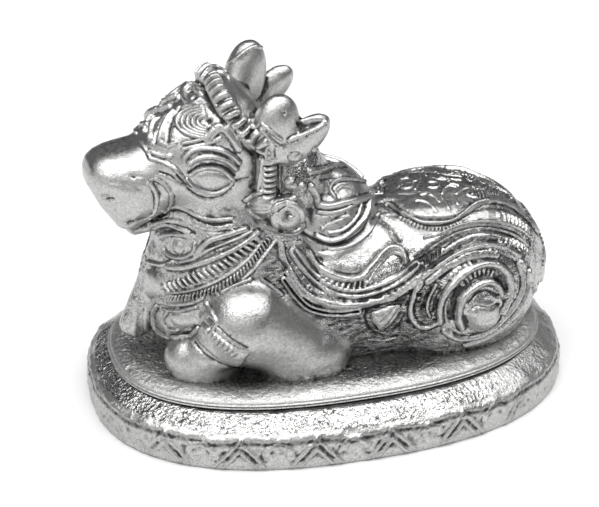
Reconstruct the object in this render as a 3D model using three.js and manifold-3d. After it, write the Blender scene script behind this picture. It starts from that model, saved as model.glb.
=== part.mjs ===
// A small seated nandi, the bull that rests at a temple's door, cast in silver with an oval slab
// under it, and the low oval plinth that the slab stands on.
//
// Frame: millimetres, +Z up, origin at the middle of the plinth's underside.
// The bull looks along -X, and its left flank faces -Y.
import * as THREE from "three";
import { mergeVertices } from "three/addons/utils/BufferGeometryUtils.js";
import Module from "manifold-3d";

const wasm = await Module();
wasm.setup();

// Driving dimensions of the plinth
const PLINTH_LENGTH = 60;
const PLINTH_WIDTH = 41.8;
const BAND_HEIGHT = 4.4; // upright outer face that carries the petals
const APRON_RISE = 1.35; // from the band's top edge up to the slab's foot
const PETAL_COUNT = 18; // pointed petals round the band
const PETAL_RELIEF = 0.3; // how far their outlines stand out
const PETAL_LINE = 0.6; // width of each of an outline's two lines
const PETAL_FOOT = 0.3; // plain strip below the petals
const PETAL_RIM = 0.5; // plain strip above them
const PETAL_TURN = 0.25; // how far they are turned round the band, in petals
const EDGE_CUT = 0.15; // broken edge at the band's top and at the slab's foot
const OVAL_POWER = 2.4; // 2 is an ellipse, and more is squarer

// Driving dimensions of the bull's slab
const SLAB_LENGTH = 54.8;
const SLAB_WIDTH = 34.2;
const SLAB_THICKNESS = 1.25;
const SLAB_BEAD = 0.3; // how far the two beads round its edge stand out
const SLAB_SHOULDER = 2.8; // width of the slope from its top down to the beads
const SLAB_DROP = 0.5; // how far that slope falls

// Driving dimension of the bull: muzzle to rump. Its pose and carving are shares of this length,
// written as millimetres of a bull that is BULL_DRAWN_LENGTH long.
const BULL_LENGTH = 57.5;
const BULL_DRAWN_LENGTH = 57.5;
const BULL_SCALE = BULL_LENGTH / BULL_DRAWN_LENGTH;
const BULL_SINK = 0.5; // how far the figure runs down into its slab

// Fineness of the meshes
const FIELD_STEP = 0.58;
const BULL_TRIANGLES = 8400; // with its slab
const OVAL_STEPS = 60;
const PETAL_STEPS = 4;

const SLAB_FOOT = BAND_HEIGHT + APRON_RISE;
const SLAB_TOP = SLAB_FOOT + SLAB_THICKNESS;

// Vectors as plain arrays of three numbers

const add = (a, b) => [a[0] + b[0], a[1] + b[1], a[2] + b[2]];
const sub = (a, b) => [a[0] - b[0], a[1] - b[1], a[2] - b[2]];
const mul = (a, s) => [a[0] * s, a[1] * s, a[2] * s];
const dot = (a, b) => a[0] * b[0] + a[1] * b[1] + a[2] * b[2];
const cross = (a, b) => [
  a[1] * b[2] - a[2] * b[1],
  a[2] * b[0] - a[0] * b[2],
  a[0] * b[1] - a[1] * b[0],
];
const norm = (a) => Math.hypot(a[0], a[1], a[2]);
const mix = (a, b, t) => a + (b - a) * t;
const clamp = (x, low, high) => Math.min(high, Math.max(low, x));
const radians = (degrees) => (degrees * Math.PI) / 180;
const mirrored = ([x, y, z]) => [x, -y, z];

// Forms. Each is a function from a point to its signed distance, negative inside.

function ellipsoid(centre, radii, pitchDegrees = 0) {
  const c = Math.cos(radians(pitchDegrees));
  const s = Math.sin(radians(pitchDegrees));
  return (p) => {
    const [dx, dy, dz] = sub(p, centre);
    const x = (dx * c + dz * s) / radii[0];
    const y = dy / radii[1];
    const z = (dz * c - dx * s) / radii[2];
    const shell = Math.hypot(x, y, z);
    const slope = Math.hypot(x / radii[0], y / radii[1], z / radii[2]);
    return slope > 1e-9 ? (shell * (shell - 1)) / slope : -Math.min(...radii);
  };
}

// A limb whose radius runs from one end's to the other's, flattened across by flat
function limb(from, to, fromRadius, toRadius, flat = 1) {
  const along = sub(to, from);
  const length2 = dot(along, along);
  return (p) => {
    const d = sub(p, from);
    const t = clamp(dot(d, along) / length2, 0, 1);
    const off = sub(d, mul(along, t));
    return Math.hypot(off[0], off[1] / flat, off[2]) - mix(fromRadius, toRadius, t);
  };
}

// A plate whose side outline is a polygon of [x, z] points, with all its edges rounded by round.
// widths is a list of [x, half width], straight between its points.
function plate(outline, widths, round) {
  const widest = Math.max(...widths.map(([, w]) => w));
  return ([x, y, z]) => {
    const flat = outlineDistance(outline, x, z) + round;
    const side = (Math.abs(y) * widest) / lineAt(widths, x) - (widest - round);
    return Math.hypot(Math.max(flat, 0), Math.max(side, 0)) + Math.min(Math.max(flat, side), 0) - round;
  };
}

// Signed distance in a plane from a point to a closed polygon
function outlineDistance(outline, x, z) {
  let nearest = Infinity;
  let inside = false;
  for (let i = 0, j = outline.length - 1; i < outline.length; j = i++) {
    const [ax, az] = outline[i];
    const [bx, bz] = outline[j];
    const t = clamp(((x - ax) * (bx - ax) + (z - az) * (bz - az)) / ((bx - ax) ** 2 + (bz - az) ** 2), 0, 1);
    nearest = Math.min(nearest, Math.hypot(x - ax - t * (bx - ax), z - az - t * (bz - az)));
    if (az > z !== bz > z && x < ((bx - ax) * (z - az)) / (bz - az) + ax) inside = !inside;
  }
  return inside ? -nearest : nearest;
}

// Height at x of the line through a list of [x, height] points
function lineAt(points, x) {
  if (x <= points[0][0]) return points[0][1];
  for (let i = 1; i < points.length; i++) {
    const [bx, b] = points[i];
    const [ax, a] = points[i - 1];
    if (x < bx) return mix(a, b, (x - ax) / (bx - ax));
  }
  return points[points.length - 1][1];
}

// Joins two distances with a fillet about as wide as blend
function fuse(a, b, blend) {
  const h = Math.max(blend - Math.abs(a - b), 0) / blend;
  return Math.min(a, b) - (h * h * blend) / 4;
}

// The bull's body, without its head. Heights are above the slab.

const SADDLE_OUTLINE = [
  [7.8, 9], [7.8, 14.6], [8.7, 16.3], [10.8, 16.9], [15, 16.5], [19, 16.1], [22, 14.4], [24, 11], [22, 8],
];
const SADDLE_WIDTHS = [[7, 5.8], [14, 6.8], [22, 6.2]];

// The cloth's tail stands off the rump, down to a hem that slants along it
function aboveHem(form) {
  return (p) => Math.max(form(p), (31.2 - p[0] - p[2]) / Math.SQRT2);
}

const BODY = [
  // barrel, rump, saddle
  { form: limb([-9, 0, 6.6], [15, 0, 6.0], 9.8, 10.4, 1.1), blend: 3 },
  { form: ellipsoid([16.4, 0, 5.6], [10.6, 11.3, 11.0]), blend: 3 },
  { form: aboveHem(ellipsoid([17.4, 0, 6.0], [10.6, 10.6, 10.4])), blend: 0.3 },
  { form: plate(SADDLE_OUTLINE, SADDLE_WIDTHS, 2.2), blend: 1.2 },
  // chest and neck
  { form: ellipsoid([-14.2, 0, 7.2], [8.4, 9.4, 10]), blend: 3 },
  { form: limb([-14.0, 0, 12], [-14.4, 0, 23], 7.5, 6.2, 0.95), blend: 3 },
  { form: limb([-10, 0, 14], [-6.5, 0, 21], 8.2, 6.2, 1), blend: 3 },
  // dewlap down the front of the neck
  { form: limb([-20.9, 0, 13], [-24.1, 0, 3.8], 1.2, 1.9, 0.9), blend: 1.5 },
  // hump
  { form: ellipsoid([-0.6, 0, 15.0], [6.4, 7.2, 7.1]), blend: 1.2 },
];

const LEFT_LIMBS = [
  // thigh
  { form: ellipsoid([15.0, -8.8, 6.6], [9.1, 4.4, 7.9], 6), blend: 1.5 },
  // raised foreleg: upper arm and knee, the elbow on the slab, shank, hoof
  { form: limb([-5.2, -9.0, 2.6], [-12.4, -9.0, 7.2], 4.0, 5.3), blend: 0.8 },
  { form: limb([-2.8, -9.6, 1.4], [-7.4, -9.6, 1.4], 2.9, 2.9), blend: 2 },
  { form: limb([-13.8, -9.2, 6.0], [-17.0, -8.5, 3.4], 3.8, 2.9), blend: 0.5 },
  { form: ellipsoid([-17.2, -7.3, 2.0], [4.9, 3.6, 3.6], -12), blend: 0.4 },
];

const mirrorForm = ({ form, blend }) => ({ form: (p) => form(mirrored(p)), blend });

// The bull's head, in its own frame: x runs back from the muzzle, y to the bull's right, z up

const HEAD_PIVOT = [-14.5, 0, 26.5];
const HEAD_TURN = radians(2);
const TURN_COS = Math.cos(HEAD_TURN);
const TURN_SIN = Math.sin(HEAD_TURN);

function toHead(p) {
  const d = sub(p, HEAD_PIVOT);
  return [d[0] * TURN_COS + d[1] * TURN_SIN, d[1] * TURN_COS - d[0] * TURN_SIN, d[2]];
}

function fromHead([x, y, z]) {
  return add(HEAD_PIVOT, [x * TURN_COS - y * TURN_SIN, y * TURN_COS + x * TURN_SIN, z]);
}

const SKULL_OUTLINE = [
  [-9.4, 0], [-8.2, 2.2], [-6.2, 4.3], [-3.6, 5.8],
  [-1.0, 7.3], [0.9, 9.0], [2.9, 8.8], [6.4, 5.0],
  [7.2, 0], [6.0, -5.4], [2.6, -7.2], [-2.6, -7.0], [-5.4, -5.6], [-9.0, -6.0],
];
const SKULL_WIDTHS = [[-9, 4.6], [-5.5, 6.0], [0, 6.8], [5, 6.6]];
const MUZZLE_OUTLINE = [
  [-14.9, -0.8], [-14.5, 0.2], [-13.6, 0.9], [-12.2, 1.4], [-9.6, 1.75], [-7.5, 1.8],
  [-5.6, 0.6], [-5.4, -6.4], [-10.2, -8.6], [-11.6, -8.1], [-13.5, -5.2], [-14.9, -2.2],
];
const MUZZLE_WIDTHS = [[-14.8, 4.4], [-10, 5.2], [-6, 5.3]];

const HEAD = [
  { form: plate(SKULL_OUTLINE, SKULL_WIDTHS, 4.8), blend: 1 },
  { form: plate(MUZZLE_OUTLINE, MUZZLE_WIDTHS, 4.2), blend: 1.2 },
  // lower lip
  { form: limb([-9.6, 0, -8.5], [-6.6, 0, -8.0], 1.1, 1.2, 2.6), blend: 0.5 },
  // the left horn, which is shorter, and the right one
  { form: ellipsoid([6.5, -6.2, 4.5], [2.8, 2.1, 4.0], -12), blend: 0.6 },
  { form: ellipsoid([6.3, 6.2, 5.4], [2.6, 2.1, 4.9], -12), blend: 0.6 },
];

const HEAD_PAIRS = [
  // ear
  { form: ellipsoid([9.4, -7.2, 2.9], [4.0, 1.4, 2.1], 38), blend: 0.5 },
  { form: limb([5.6, -5, 1.0], [8.4, -6.8, 1.8], 1.6, 1.6), blend: 0.5 },
  // cheek strap and ear disc
  { form: limb([5.2, -6.6, 1.8], [5, -6.6, -5.4], 1.1, 1.3), blend: 0.4 },
  { form: ellipsoid([7.4, -7.9, -6.0], [2.2, 1.5, 2.2]), blend: 0.8 },
];

const BODY_FORMS = [...BODY, ...LEFT_LIMBS, ...LEFT_LIMBS.map(mirrorForm)];
const HEAD_FORMS = [...HEAD, ...HEAD_PAIRS, ...HEAD_PAIRS.map(mirrorForm)];

const fused = (forms, p) => forms.reduce((sum, { form, blend }) => fuse(sum, form(p), blend), Infinity);
const bodyForm = (p) => fused(BODY_FORMS, p);
const headForm = (q) => fused(HEAD_FORMS, q);

// Carving. Each line of it is a raised cord: a smooth curve laid on the form near its points, which are
// given for the bull's left side, with a half width and a height. The right side is the same.

const CORD_STEP = 0.7; // length of a cord's straight pieces

function snapped(p, field) {
  return settle([p], field, 6)[0];
}

function cord(points, halfWidth, height, field = bodyForm) {
  const curve = new THREE.CatmullRomCurve3(points.map((p) => new THREE.Vector3(...p)));
  const count = Math.ceil(curve.getLength() / CORD_STEP);
  const laid = curve.getSpacedPoints(count).map((v) => snapped(v.toArray(), field));
  const low = [0, 1, 2].map((i) => Math.min(...laid.map((p) => p[i])) - halfWidth);
  const high = [0, 1, 2].map((i) => Math.max(...laid.map((p) => p[i])) + halfWidth);
  return (p) => {
    for (let i = 0; i < 3; i++) if (p[i] < low[i] || p[i] > high[i]) return 0;
    let nearest = Infinity;
    for (let i = 1; i < laid.length; i++) nearest = Math.min(nearest, toSegment(p, laid[i - 1], laid[i]));
    return height * Math.max(0, 1 - (nearest / halfWidth) ** 2);
  };
}

const headCord = (points, halfWidth, height) => cord(points, halfWidth, height, headForm);

function toSegment(p, a, b) {
  const ab = sub(b, a);
  const t = clamp(dot(sub(p, a), ab) / dot(ab, ab), 0, 1);
  return norm(sub(p, add(a, mul(ab, t))));
}

// A round boss, or a dish when its height is negative
function boss(centre, radius, height, field = bodyForm) {
  const middle = snapped(centre, field);
  return (p) => height * Math.max(0, 1 - (norm(sub(p, middle)) / radius) ** 2);
}

// A cord along an arc round centre, as seen from the side, that turns from one angle to another
function whorl([x, y, z], startRadius, endRadius, startDegrees, endDegrees, halfWidth, height, field) {
  const steps = Math.ceil(Math.abs(endDegrees - startDegrees) / 30);
  const points = [];
  for (let i = 0; i <= steps; i++) {
    const angle = radians(mix(startDegrees, endDegrees, i / steps));
    const radius = mix(startRadius, endRadius, i / steps);
    points.push([x + radius * Math.cos(angle), y, z + radius * Math.sin(angle)]);
  }
  return cord(points, halfWidth, height, field);
}

// The cloth over the back: everything above its lower edge is one cloth's thickness higher
const CLOTH_THICKNESS = 0.4;
const CLOTH_EDGE = [
  [-8.0, 15.0], [-6.1, 11.6], [-4.6, 9.9], [-2.6, 8.8], [0.5, 8.4], [3.4, 8.6], [6.5, 9.7],
  [10.2, 11.9], [13.0, 13.2], [16.0, 13.7], [19.0, 13.0], [21.0, 11.6], [22.6, 9.0], [24.5, 5.0], [27.4, 4.0],
];

function cloth([x, , z]) {
  if (x < CLOTH_EDGE[0][0]) return 0;
  return CLOTH_THICKNESS * THREE.MathUtils.smoothstep(z - lineAt(CLOTH_EDGE, x), -0.25, 0.25);
}

const BODY_CARVING = [
  // garland: its upper cord, the cord pair along its middle, and the edge of the cloth
  cord([[-5.2, -7.2, 15], [-3, -9, 12.5], [0.3, -9.7, 11.6], [3.1, -9, 12.6],
    [5.8, -7.7, 13.9], [7.3, -8.6, 13]], 0.6, 0.55),
  cord([[-6.5, -7.5, 15.1], [-4.7, -9, 12.5], [-1.7, -10.2, 10.5], [1.9, -10.5, 10.1],
    [5.8, -10, 11.3], [9.2, -9.3, 12.9], [13.2, -8.3, 14.7], [18, -7.4, 15],
    [22.1, -7.2, 13.1], [25, -6.6, 9.8]], 0.65, 0.55),
  cord([[-6.9, -8.6, 13.5], [-4.8, -10.3, 10.2], [-0.7, -11, 8.8], [4.3, -10.9, 9.2],
    [8.5, -10.8, 11.3], [12.6, -10.4, 13.6], [17.1, -10, 14.3], [20.5, -10.5, 12.8],
    [22.4, -10.4, 10]], 0.6, 0.45),
  // haunch: the sweep round it, its two arms and its boss
  cord([[21.9, -11.2, 10.4], [21.9, -11.8, 9], [21, -12.4, 6.8], [18.5, -12.8, 4.2],
    [14.6, -13, 3.7]], 0.6, 0.5),
  cord([[10.9, -12.7, 5.7], [11.9, -12.5, 9.8], [15.3, -11.9, 12.2], [18.6, -11.7, 12],
    [19.8, -12.4, 9.4], [18.4, -13, 6.6]], 0.7, 0.65),
  cord([[12.3, -13, 5.9], [13.1, -12.9, 9], [15.7, -12.7, 10.5], [18, -12.7, 9.6],
    [18.9, -12.9, 6.5]], 0.5, 0.5),
  boss([16.2, -13.2, 6.2], 2.3, 0.8),
  // leaf and drop below the garland
  boss([8.9, -11.9, 8.3], 2.3, 0.4),
  cord([[9.6, -12.4, 5.4], [7.6, -11.8, 6], [7.4, -11.6, 8], [8.4, -11.3, 10],
    [10.9, -11.7, 11.1]], 0.4, 0.4),
  boss([4.2, -11.3, 6.6], 2.2, 0.8),
  // saddle border
  cord([[4.4, -4.4, 18], [7.8, -2, 16.8], [9.7, -4.4, 16.1], [12.6, -6.2, 15.9],
    [16, -5.3, 16.6], [21, -4.4, 15.6], [24.9, -3.3, 12.5]], 0.6, 0.5),
  // hump: its cloth's border, the lobe below it and the seam along its top
  cord([[4.5, -3.9, 18.9], [0.6, -6.3, 19.3], [-3, -6, 19.4]], 0.5, 0.4),
  cord([[4.5, -4.1, 18.4], [2.1, -6.7, 16.5], [-1.5, -7.3, 15.9], [-3.7, -6.4, 17.3]], 0.45, 0.4),
  cord([[-0.5, 0, 23.2], [2.3, 0, 22.6], [4.1, 0, 21.1], [5.4, 0, 19]], 0.4, 0.3),
  // collars round the neck and chest
  cord([[-11.7, -7, 18.4], [-14.4, -7.1, 17.6], [-17.4, -6.3, 16.4]], 0.6, 0.5),
  cord([[-10.4, -7.1, 18.1], [-14.1, -7.7, 16.2], [-17.8, -6.6, 14.5], [-21.2, -3.8, 12.8]], 0.6, 0.5),
  cord([[-9.2, -7.4, 17], [-12.5, -8.7, 14.3], [-16.7, -8.2, 12], [-21.4, -4.7, 9.3]], 0.6, 0.5),
  cord([[-16.9, -8.8, 10.1], [-20.6, -6, 8.8], [-22, -3.5, 8.2]], 0.5, 0.4),
  // curls at the throat and on the chest
  whorl([-20.4, -3.6, 16], 1.7, 1.1, -120, 150, 0.5, 0.4),
  whorl([-20.2, -6.3, 7.2], 1.9, 1.2, -150, 120, 0.5, 0.4),
  boss([-20.2, -6.4, 7.2], 0.9, 0.5),
  // anklet
  cord([[-16.9, -9, 8.2], [-16, -12.4, 5.9], [-14.2, -12.6, 3.6]], 0.5, 0.3),
];

const HEAD_CARVING = [
  // headband, from the crown down to the ear
  headCord([[0.6, 0, 9.1], [1.1, -4.4, 8.4], [3, -6, 5.5], [4.9, -7.7, 2.8]], 1.1, 0.6),
  // whorls on the forehead
  whorl([-2.6, -4.8, 5.4], 1.9, 1.9, 60, 300, 0.5, 0.45, headForm),
  boss([-2.4, -4.8, 5.5], 1.3, 0.5, headForm),
  whorl([-1.8, -1.4, 7.7], 1.3, 0.9, 0, 300, 0.4, 0.35, headForm),
  headCord([[-7.6, -2.6, 2.8], [-6.9, -1.2, 4.1], [-5, -0.8, 5.6], [-4.6, -2.4, 5.4],
    [-6, -3.4, 3.8]], 0.5, 0.4),
  // brow, upper lid, lower lid and eyeball
  headCord([[-5.1, -5.8, 1], [-3.6, -5.8, 3.3], [-0.1, -6.8, 3.5], [2.5, -6.7, 0.6]], 0.5, 0.4),
  headCord([[-4.4, -5.9, 0.6], [-3, -6.2, 2.1], [-0.5, -6.8, 2.2], [1.6, -6.8, 0.4]], 0.45, 0.35),
  headCord([[-4.6, -6.1, -1.3], [-2.1, -6.4, -3.3], [0.2, -6.7, -2.8], [1.6, -6.7, -1.5]], 0.45, 0.35),
  boss([-1.2, -6.7, -0.8], 1.9, 0.5, headForm),
  // folds where the muzzle meets the cheek, jaw line and mouth
  headCord([[-9.7, -4.8, -0.4], [-7.6, -5, -2], [-7.3, -5.1, -3.5], [-8, -4.9, -5.6]], 0.5, 0.3),
  headCord([[-8.8, -4.7, -6.6], [-5.6, -4.4, -5.4], [-3.3, -5.3, -6.8], [0.6, -6.5, -6.9],
    [2.4, -6.3, -5]], 0.5, 0.4),
  headCord([[-12, -4.4, -6.2], [-10.4, -4.7, -6.5], [-8.8, -4.9, -6.2]], 0.4, -0.35),
  // nostril, and the hollows of the ear and of the ear disc
  boss([-13.6, -3.6, -2.9], 0.7, -0.4, headForm),
  boss([10, -8.3, 3.3], 1.9, -0.7, headForm),
  boss([7.4, -9.4, -6], 1.1, -0.8, headForm),
];

function heightOf(carving, [x, y, z]) {
  const left = [x, -Math.abs(y), z];
  let raised = 0;
  let cut = 0;
  for (const form of carving) {
    const height = form(left);
    raised = Math.max(raised, height);
    cut = Math.min(cut, height);
  }
  return raised + cut;
}

const CARVING_REACH = 1.2; // the carving is worked out this near the form
const NECK_BLEND = 1; // fillet between the head and the neck
const FIELD_LOW = [-30.5, -15, -BULL_SINK - 1]; // corners of the space that holds the bull
const FIELD_HIGH = [30, 15, 38.5];

function bullField(p) {
  const q = toHead(p);
  let body = bodyForm(p);
  let head = headForm(q);
  if (Math.abs(body) < CARVING_REACH) body -= cloth(p) + heightOf(BODY_CARVING, p);
  if (Math.abs(head) < CARVING_REACH) head -= heightOf(HEAD_CARVING, q);
  return Math.max(fuse(body, head, NECK_BLEND), -BULL_SINK - p[2]);
}

// Meshing: a naive surface net over the field, then edge collapses that keep its shape

function surfaceNet(field, low, high, step) {
  const counts = [0, 1, 2].map((i) => Math.ceil((high[i] - low[i]) / step) + 1);
  const [nx, ny, nz] = counts;
  const index = (i, j, k) => (k * ny + j) * nx + i;
  const values = new Float32Array(nx * ny * nz);
  const at = (i, j, k) => [low[0] + i * step, low[1] + j * step, low[2] + k * step];
  const block = 4;
  const reach = block * step * 1.2;
  for (let k = 0; k < nz; k += block)
    for (let j = 0; j < ny; j += block)
      for (let i = 0; i < nx; i += block) {
        const middle = field(at(i + block / 2, j + block / 2, k + block / 2));
        const near = Math.abs(middle) < reach;
        for (let c = k; c < Math.min(k + block, nz); c++)
          for (let b = j; b < Math.min(j + block, ny); b++)
            for (let a = i; a < Math.min(i + block, nx); a++)
              values[index(a, b, c)] = near ? field(at(a, b, c)) : middle;
      }

  const cellVertex = new Int32Array(nx * ny * nz).fill(-1);
  const vertices = [];
  const corners = [];
  for (let c = 0; c < 8; c++) corners.push([c & 1, (c >> 1) & 1, (c >> 2) & 1]);
  const edges = [];
  for (let a = 0; a < 8; a++) for (const bit of [1, 2, 4]) if (!(a & bit)) edges.push([a, a | bit]);

  for (let k = 0; k < nz - 1; k++)
    for (let j = 0; j < ny - 1; j++)
      for (let i = 0; i < nx - 1; i++) {
        const v = corners.map(([a, b, c]) => values[index(i + a, j + b, k + c)]);
        const inside = v.reduce((n, x) => n + (x < 0), 0);
        if (inside === 0 || inside === 8) continue;
        let sum = [0, 0, 0];
        let crossings = 0;
        for (const [a, b] of edges) {
          if (v[a] < 0 === v[b] < 0) continue;
          const t = v[a] / (v[a] - v[b]);
          sum = add(sum, [0, 1, 2].map((n) => mix(corners[a][n], corners[b][n], t)));
          crossings++;
        }
        const local = mul(sum, 1 / crossings);
        cellVertex[index(i, j, k)] = vertices.length;
        vertices.push(add(low, mul(add([i, j, k], local), step)));
      }

  const triangles = [];
  const quad = (a, b, c, d, flip) => {
    if (flip) [b, d] = [d, b];
    triangles.push([a, b, c], [a, c, d]);
  };
  for (let k = 1; k < nz - 1; k++)
    for (let j = 1; j < ny - 1; j++)
      for (let i = 1; i < nx - 1; i++) {
        const here = values[index(i, j, k)] < 0;
        const cell = (a, b, c) => cellVertex[index(i - a, j - b, k - c)];
        if (here !== values[index(i + 1, j, k)] < 0)
          quad(cell(0, 1, 1), cell(0, 0, 1), cell(0, 0, 0), cell(0, 1, 0), !here);
        if (here !== values[index(i, j + 1, k)] < 0)
          quad(cell(1, 0, 1), cell(1, 0, 0), cell(0, 0, 0), cell(0, 0, 1), !here);
        if (here !== values[index(i, j, k + 1)] < 0)
          quad(cell(1, 1, 0), cell(0, 1, 0), cell(0, 0, 0), cell(1, 0, 0), !here);
      }
  return { vertices, triangles };
}

// Moves each vertex onto the field's zero by a few steps down its slope
function settle(vertices, field, rounds) {
  const e = 0.02;
  return vertices.map((start) => {
    let p = start;
    for (let n = 0; n < rounds; n++) {
      const d = field(p);
      const g = [0, 1, 2].map((i) => {
        const q = [...p];
        q[i] += e;
        return (field(q) - d) / e;
      });
      const g2 = Math.max(dot(g, g), 0.05);
      p = sub(p, mul(g, clamp(d / g2, -0.2, 0.2)));
    }
    return p;
  });
}

// Collapses edges, cheapest first by their quadric error, until target triangles are left
function thin({ vertices, triangles }, target) {
  const points = vertices.map((p) => [...p]);
  const faces = triangles.map((t) => [...t]);
  const fans = vertices.map(() => new Set());
  const quadrics = vertices.map(() => new Array(10).fill(0));
  const normalOf = (a, b, c) => cross(sub(points[b], points[a]), sub(points[c], points[a]));
  faces.forEach((face, f) => {
    const n = normalOf(...face);
    const area = norm(n);
    for (const v of face) fans[v].add(f);
    if (area < 1e-12) return;
    const plane = [...mul(n, 1 / area), -dot(n, points[face[0]]) / area];
    let k = 0;
    for (let i = 0; i < 4; i++)
      for (let j = i; j < 4; j++, k++) for (const v of face) quadrics[v][k] += plane[i] * plane[j] * area;
  });
  const error = (q, [x, y, z]) =>
    q[0] * x * x + 2 * q[1] * x * y + 2 * q[2] * x * z + 2 * q[3] * x + q[4] * y * y + 2 * q[5] * y * z +
    2 * q[6] * y + q[7] * z * z + 2 * q[8] * z + q[9];

  // the place of least error, or the edge's middle where that is undecided
  function bestPlace(a, b, q) {
    const middle = mul(add(points[a], points[b]), 0.5);
    const row1 = [q[0], q[1], q[2]];
    const row2 = [q[1], q[4], q[5]];
    const row3 = [q[2], q[5], q[7]];
    const right = [-q[3], -q[6], -q[8]];
    const volume = dot(row1, cross(row2, row3));
    if (Math.abs(volume) < 1e-4 * (q[0] + q[4] + q[7]) ** 3) return middle;
    const columns = [cross(row2, row3), cross(row3, row1), cross(row1, row2)];
    const place = columns.reduce((sum, column, i) => add(sum, mul(column, right[i] / volume)), [0, 0, 0]);
    return norm(sub(place, middle)) < 2 * norm(sub(points[a], points[b])) ? place : middle;
  }

  const version = new Int32Array(points.length);
  const heap = [];
  const swap = (i, j) => ([heap[i], heap[j]] = [heap[j], heap[i]]);
  function push(entry) {
    let i = heap.push(entry) - 1;
    while (i > 0 && heap[i].cost < heap[(i - 1) >> 1].cost) {
      swap(i, (i - 1) >> 1);
      i = (i - 1) >> 1;
    }
  }
  function pop() {
    swap(0, heap.length - 1);
    const entry = heap.pop();
    for (let i = 0; ; ) {
      let least = i;
      for (const child of [2 * i + 1, 2 * i + 2])
        if (child < heap.length && heap[child].cost < heap[least].cost) least = child;
      if (least === i) return entry;
      swap(i, least);
      i = least;
    }
  }
  function offer(a, b) {
    const q = quadrics[a].map((x, i) => x + quadrics[b][i]);
    const place = bestPlace(a, b, q);
    const length = norm(sub(points[a], points[b]));
    push({ cost: error(q, place) + 1e-6 * length, a, b, place, stamp: version[a] + version[b] });
  }
  const neighbours = (v) => {
    const found = new Set();
    for (const f of fans[v]) for (const w of faces[f]) if (w !== v) found.add(w);
    return found;
  };
  function turnsOver(v, other, place) {
    for (const f of fans[v]) {
      if (faces[f].includes(other)) continue;
      const before = normalOf(...faces[f]);
      const [a, b, c] = faces[f].map((w) => (w === v ? place : points[w]));
      const after = cross(sub(b, a), sub(c, a));
      if (dot(before, after) < 0.3 * norm(before) * norm(after)) return true;
      if (norm(after) < 0.02 * Math.max(norm(sub(b, a)), norm(sub(c, a)), norm(sub(c, b))) ** 2) return true;
    }
    return false;
  }

  for (let v = 0; v < points.length; v++) for (const w of neighbours(v)) if (v < w) offer(v, w);
  let left = faces.length;
  while (left > target && heap.length) {
    const { a, b, place, stamp } = pop();
    if (!fans[a].size || !fans[b].size || stamp !== version[a] + version[b]) continue;
    const shared = [...neighbours(a)].filter((v) => neighbours(b).has(v));
    if (shared.length !== 2 || turnsOver(a, b, place) || turnsOver(b, a, place)) continue;
    points[a] = place;
    quadrics[a] = quadrics[a].map((x, i) => x + quadrics[b][i]);
    for (const f of fans[b]) {
      if (faces[f].includes(a)) {
        for (const v of faces[f]) if (v !== b) fans[v].delete(f);
        faces[f] = null;
        left--;
      } else {
        faces[f] = faces[f].map((v) => (v === b ? a : v));
        fans[a].add(f);
      }
    }
    fans[b].clear();
    version[a]++;
    for (const w of neighbours(a)) offer(a, w);
  }

  const renamed = new Map();
  const kept = faces.filter(Boolean);
  for (const face of kept) for (const v of face) if (!renamed.has(v)) renamed.set(v, renamed.size);
  return {
    vertices: [...renamed.keys()].map((v) => points[v]),
    triangles: kept.map((face) => face.map((v) => renamed.get(v))),
  };
}

// Parts

const silver = (name, roughness) =>
  Object.assign(new THREE.MeshStandardMaterial({ color: 0xc9c9c7, metalness: 1, roughness }), { name });

function geometryOf({ vertices, triangles }) {
  const geometry = new THREE.BufferGeometry();
  geometry.setAttribute("position", new THREE.Float32BufferAttribute(vertices.flat(), 3));
  geometry.setIndex(triangles.flat());
  return geometry;
}

// One solid from two that overlap
function joined(first, second) {
  const solid = ({ vertices, triangles }) => {
    const merged = mergeVertices(geometryOf({ vertices, triangles }), 1e-5);
    return new wasm.Manifold(
      new wasm.Mesh({
        numProp: 3,
        vertProperties: new Float32Array(merged.attributes.position.array),
        triVerts: new Uint32Array(merged.index.array),
      }),
    );
  };
  const { vertProperties, triVerts } = solid(first).add(solid(second)).getMesh();
  const inThrees = (list) =>
    Array.from({ length: list.length / 3 }, (_, i) => [...list.slice(3 * i, 3 * i + 3)]);
  return { vertices: inThrees(vertProperties), triangles: inThrees(triVerts) };
}

// A point of a squared oval, as [x, y] for a half length and a half width
function ovalPoint(angle, halfLength, halfWidth) {
  const c = Math.cos(angle);
  const s = Math.sin(angle);
  const power = 2 / OVAL_POWER;
  return [
    halfLength * Math.sign(c) * Math.abs(c) ** power,
    halfWidth * Math.sign(s) * Math.abs(s) ** power,
  ];
}

// Angles that part an oval's edge into equal lengths
function evenAngles(length, width, count) {
  const fine = 7200;
  const lengths = [0];
  let last = ovalPoint(0, length / 2, width / 2);
  for (let i = 1; i <= fine; i++) {
    const next = ovalPoint((i / fine) * 2 * Math.PI, length / 2, width / 2);
    lengths.push(lengths[i - 1] + Math.hypot(next[0] - last[0], next[1] - last[1]));
    last = next;
  }
  const angles = [];
  for (let i = 0, k = 0; k < count; k++) {
    while (lengths[i] < (k / count) * lengths[fine]) i++;
    angles.push((i / fine) * 2 * Math.PI);
  }
  return angles;
}

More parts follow.
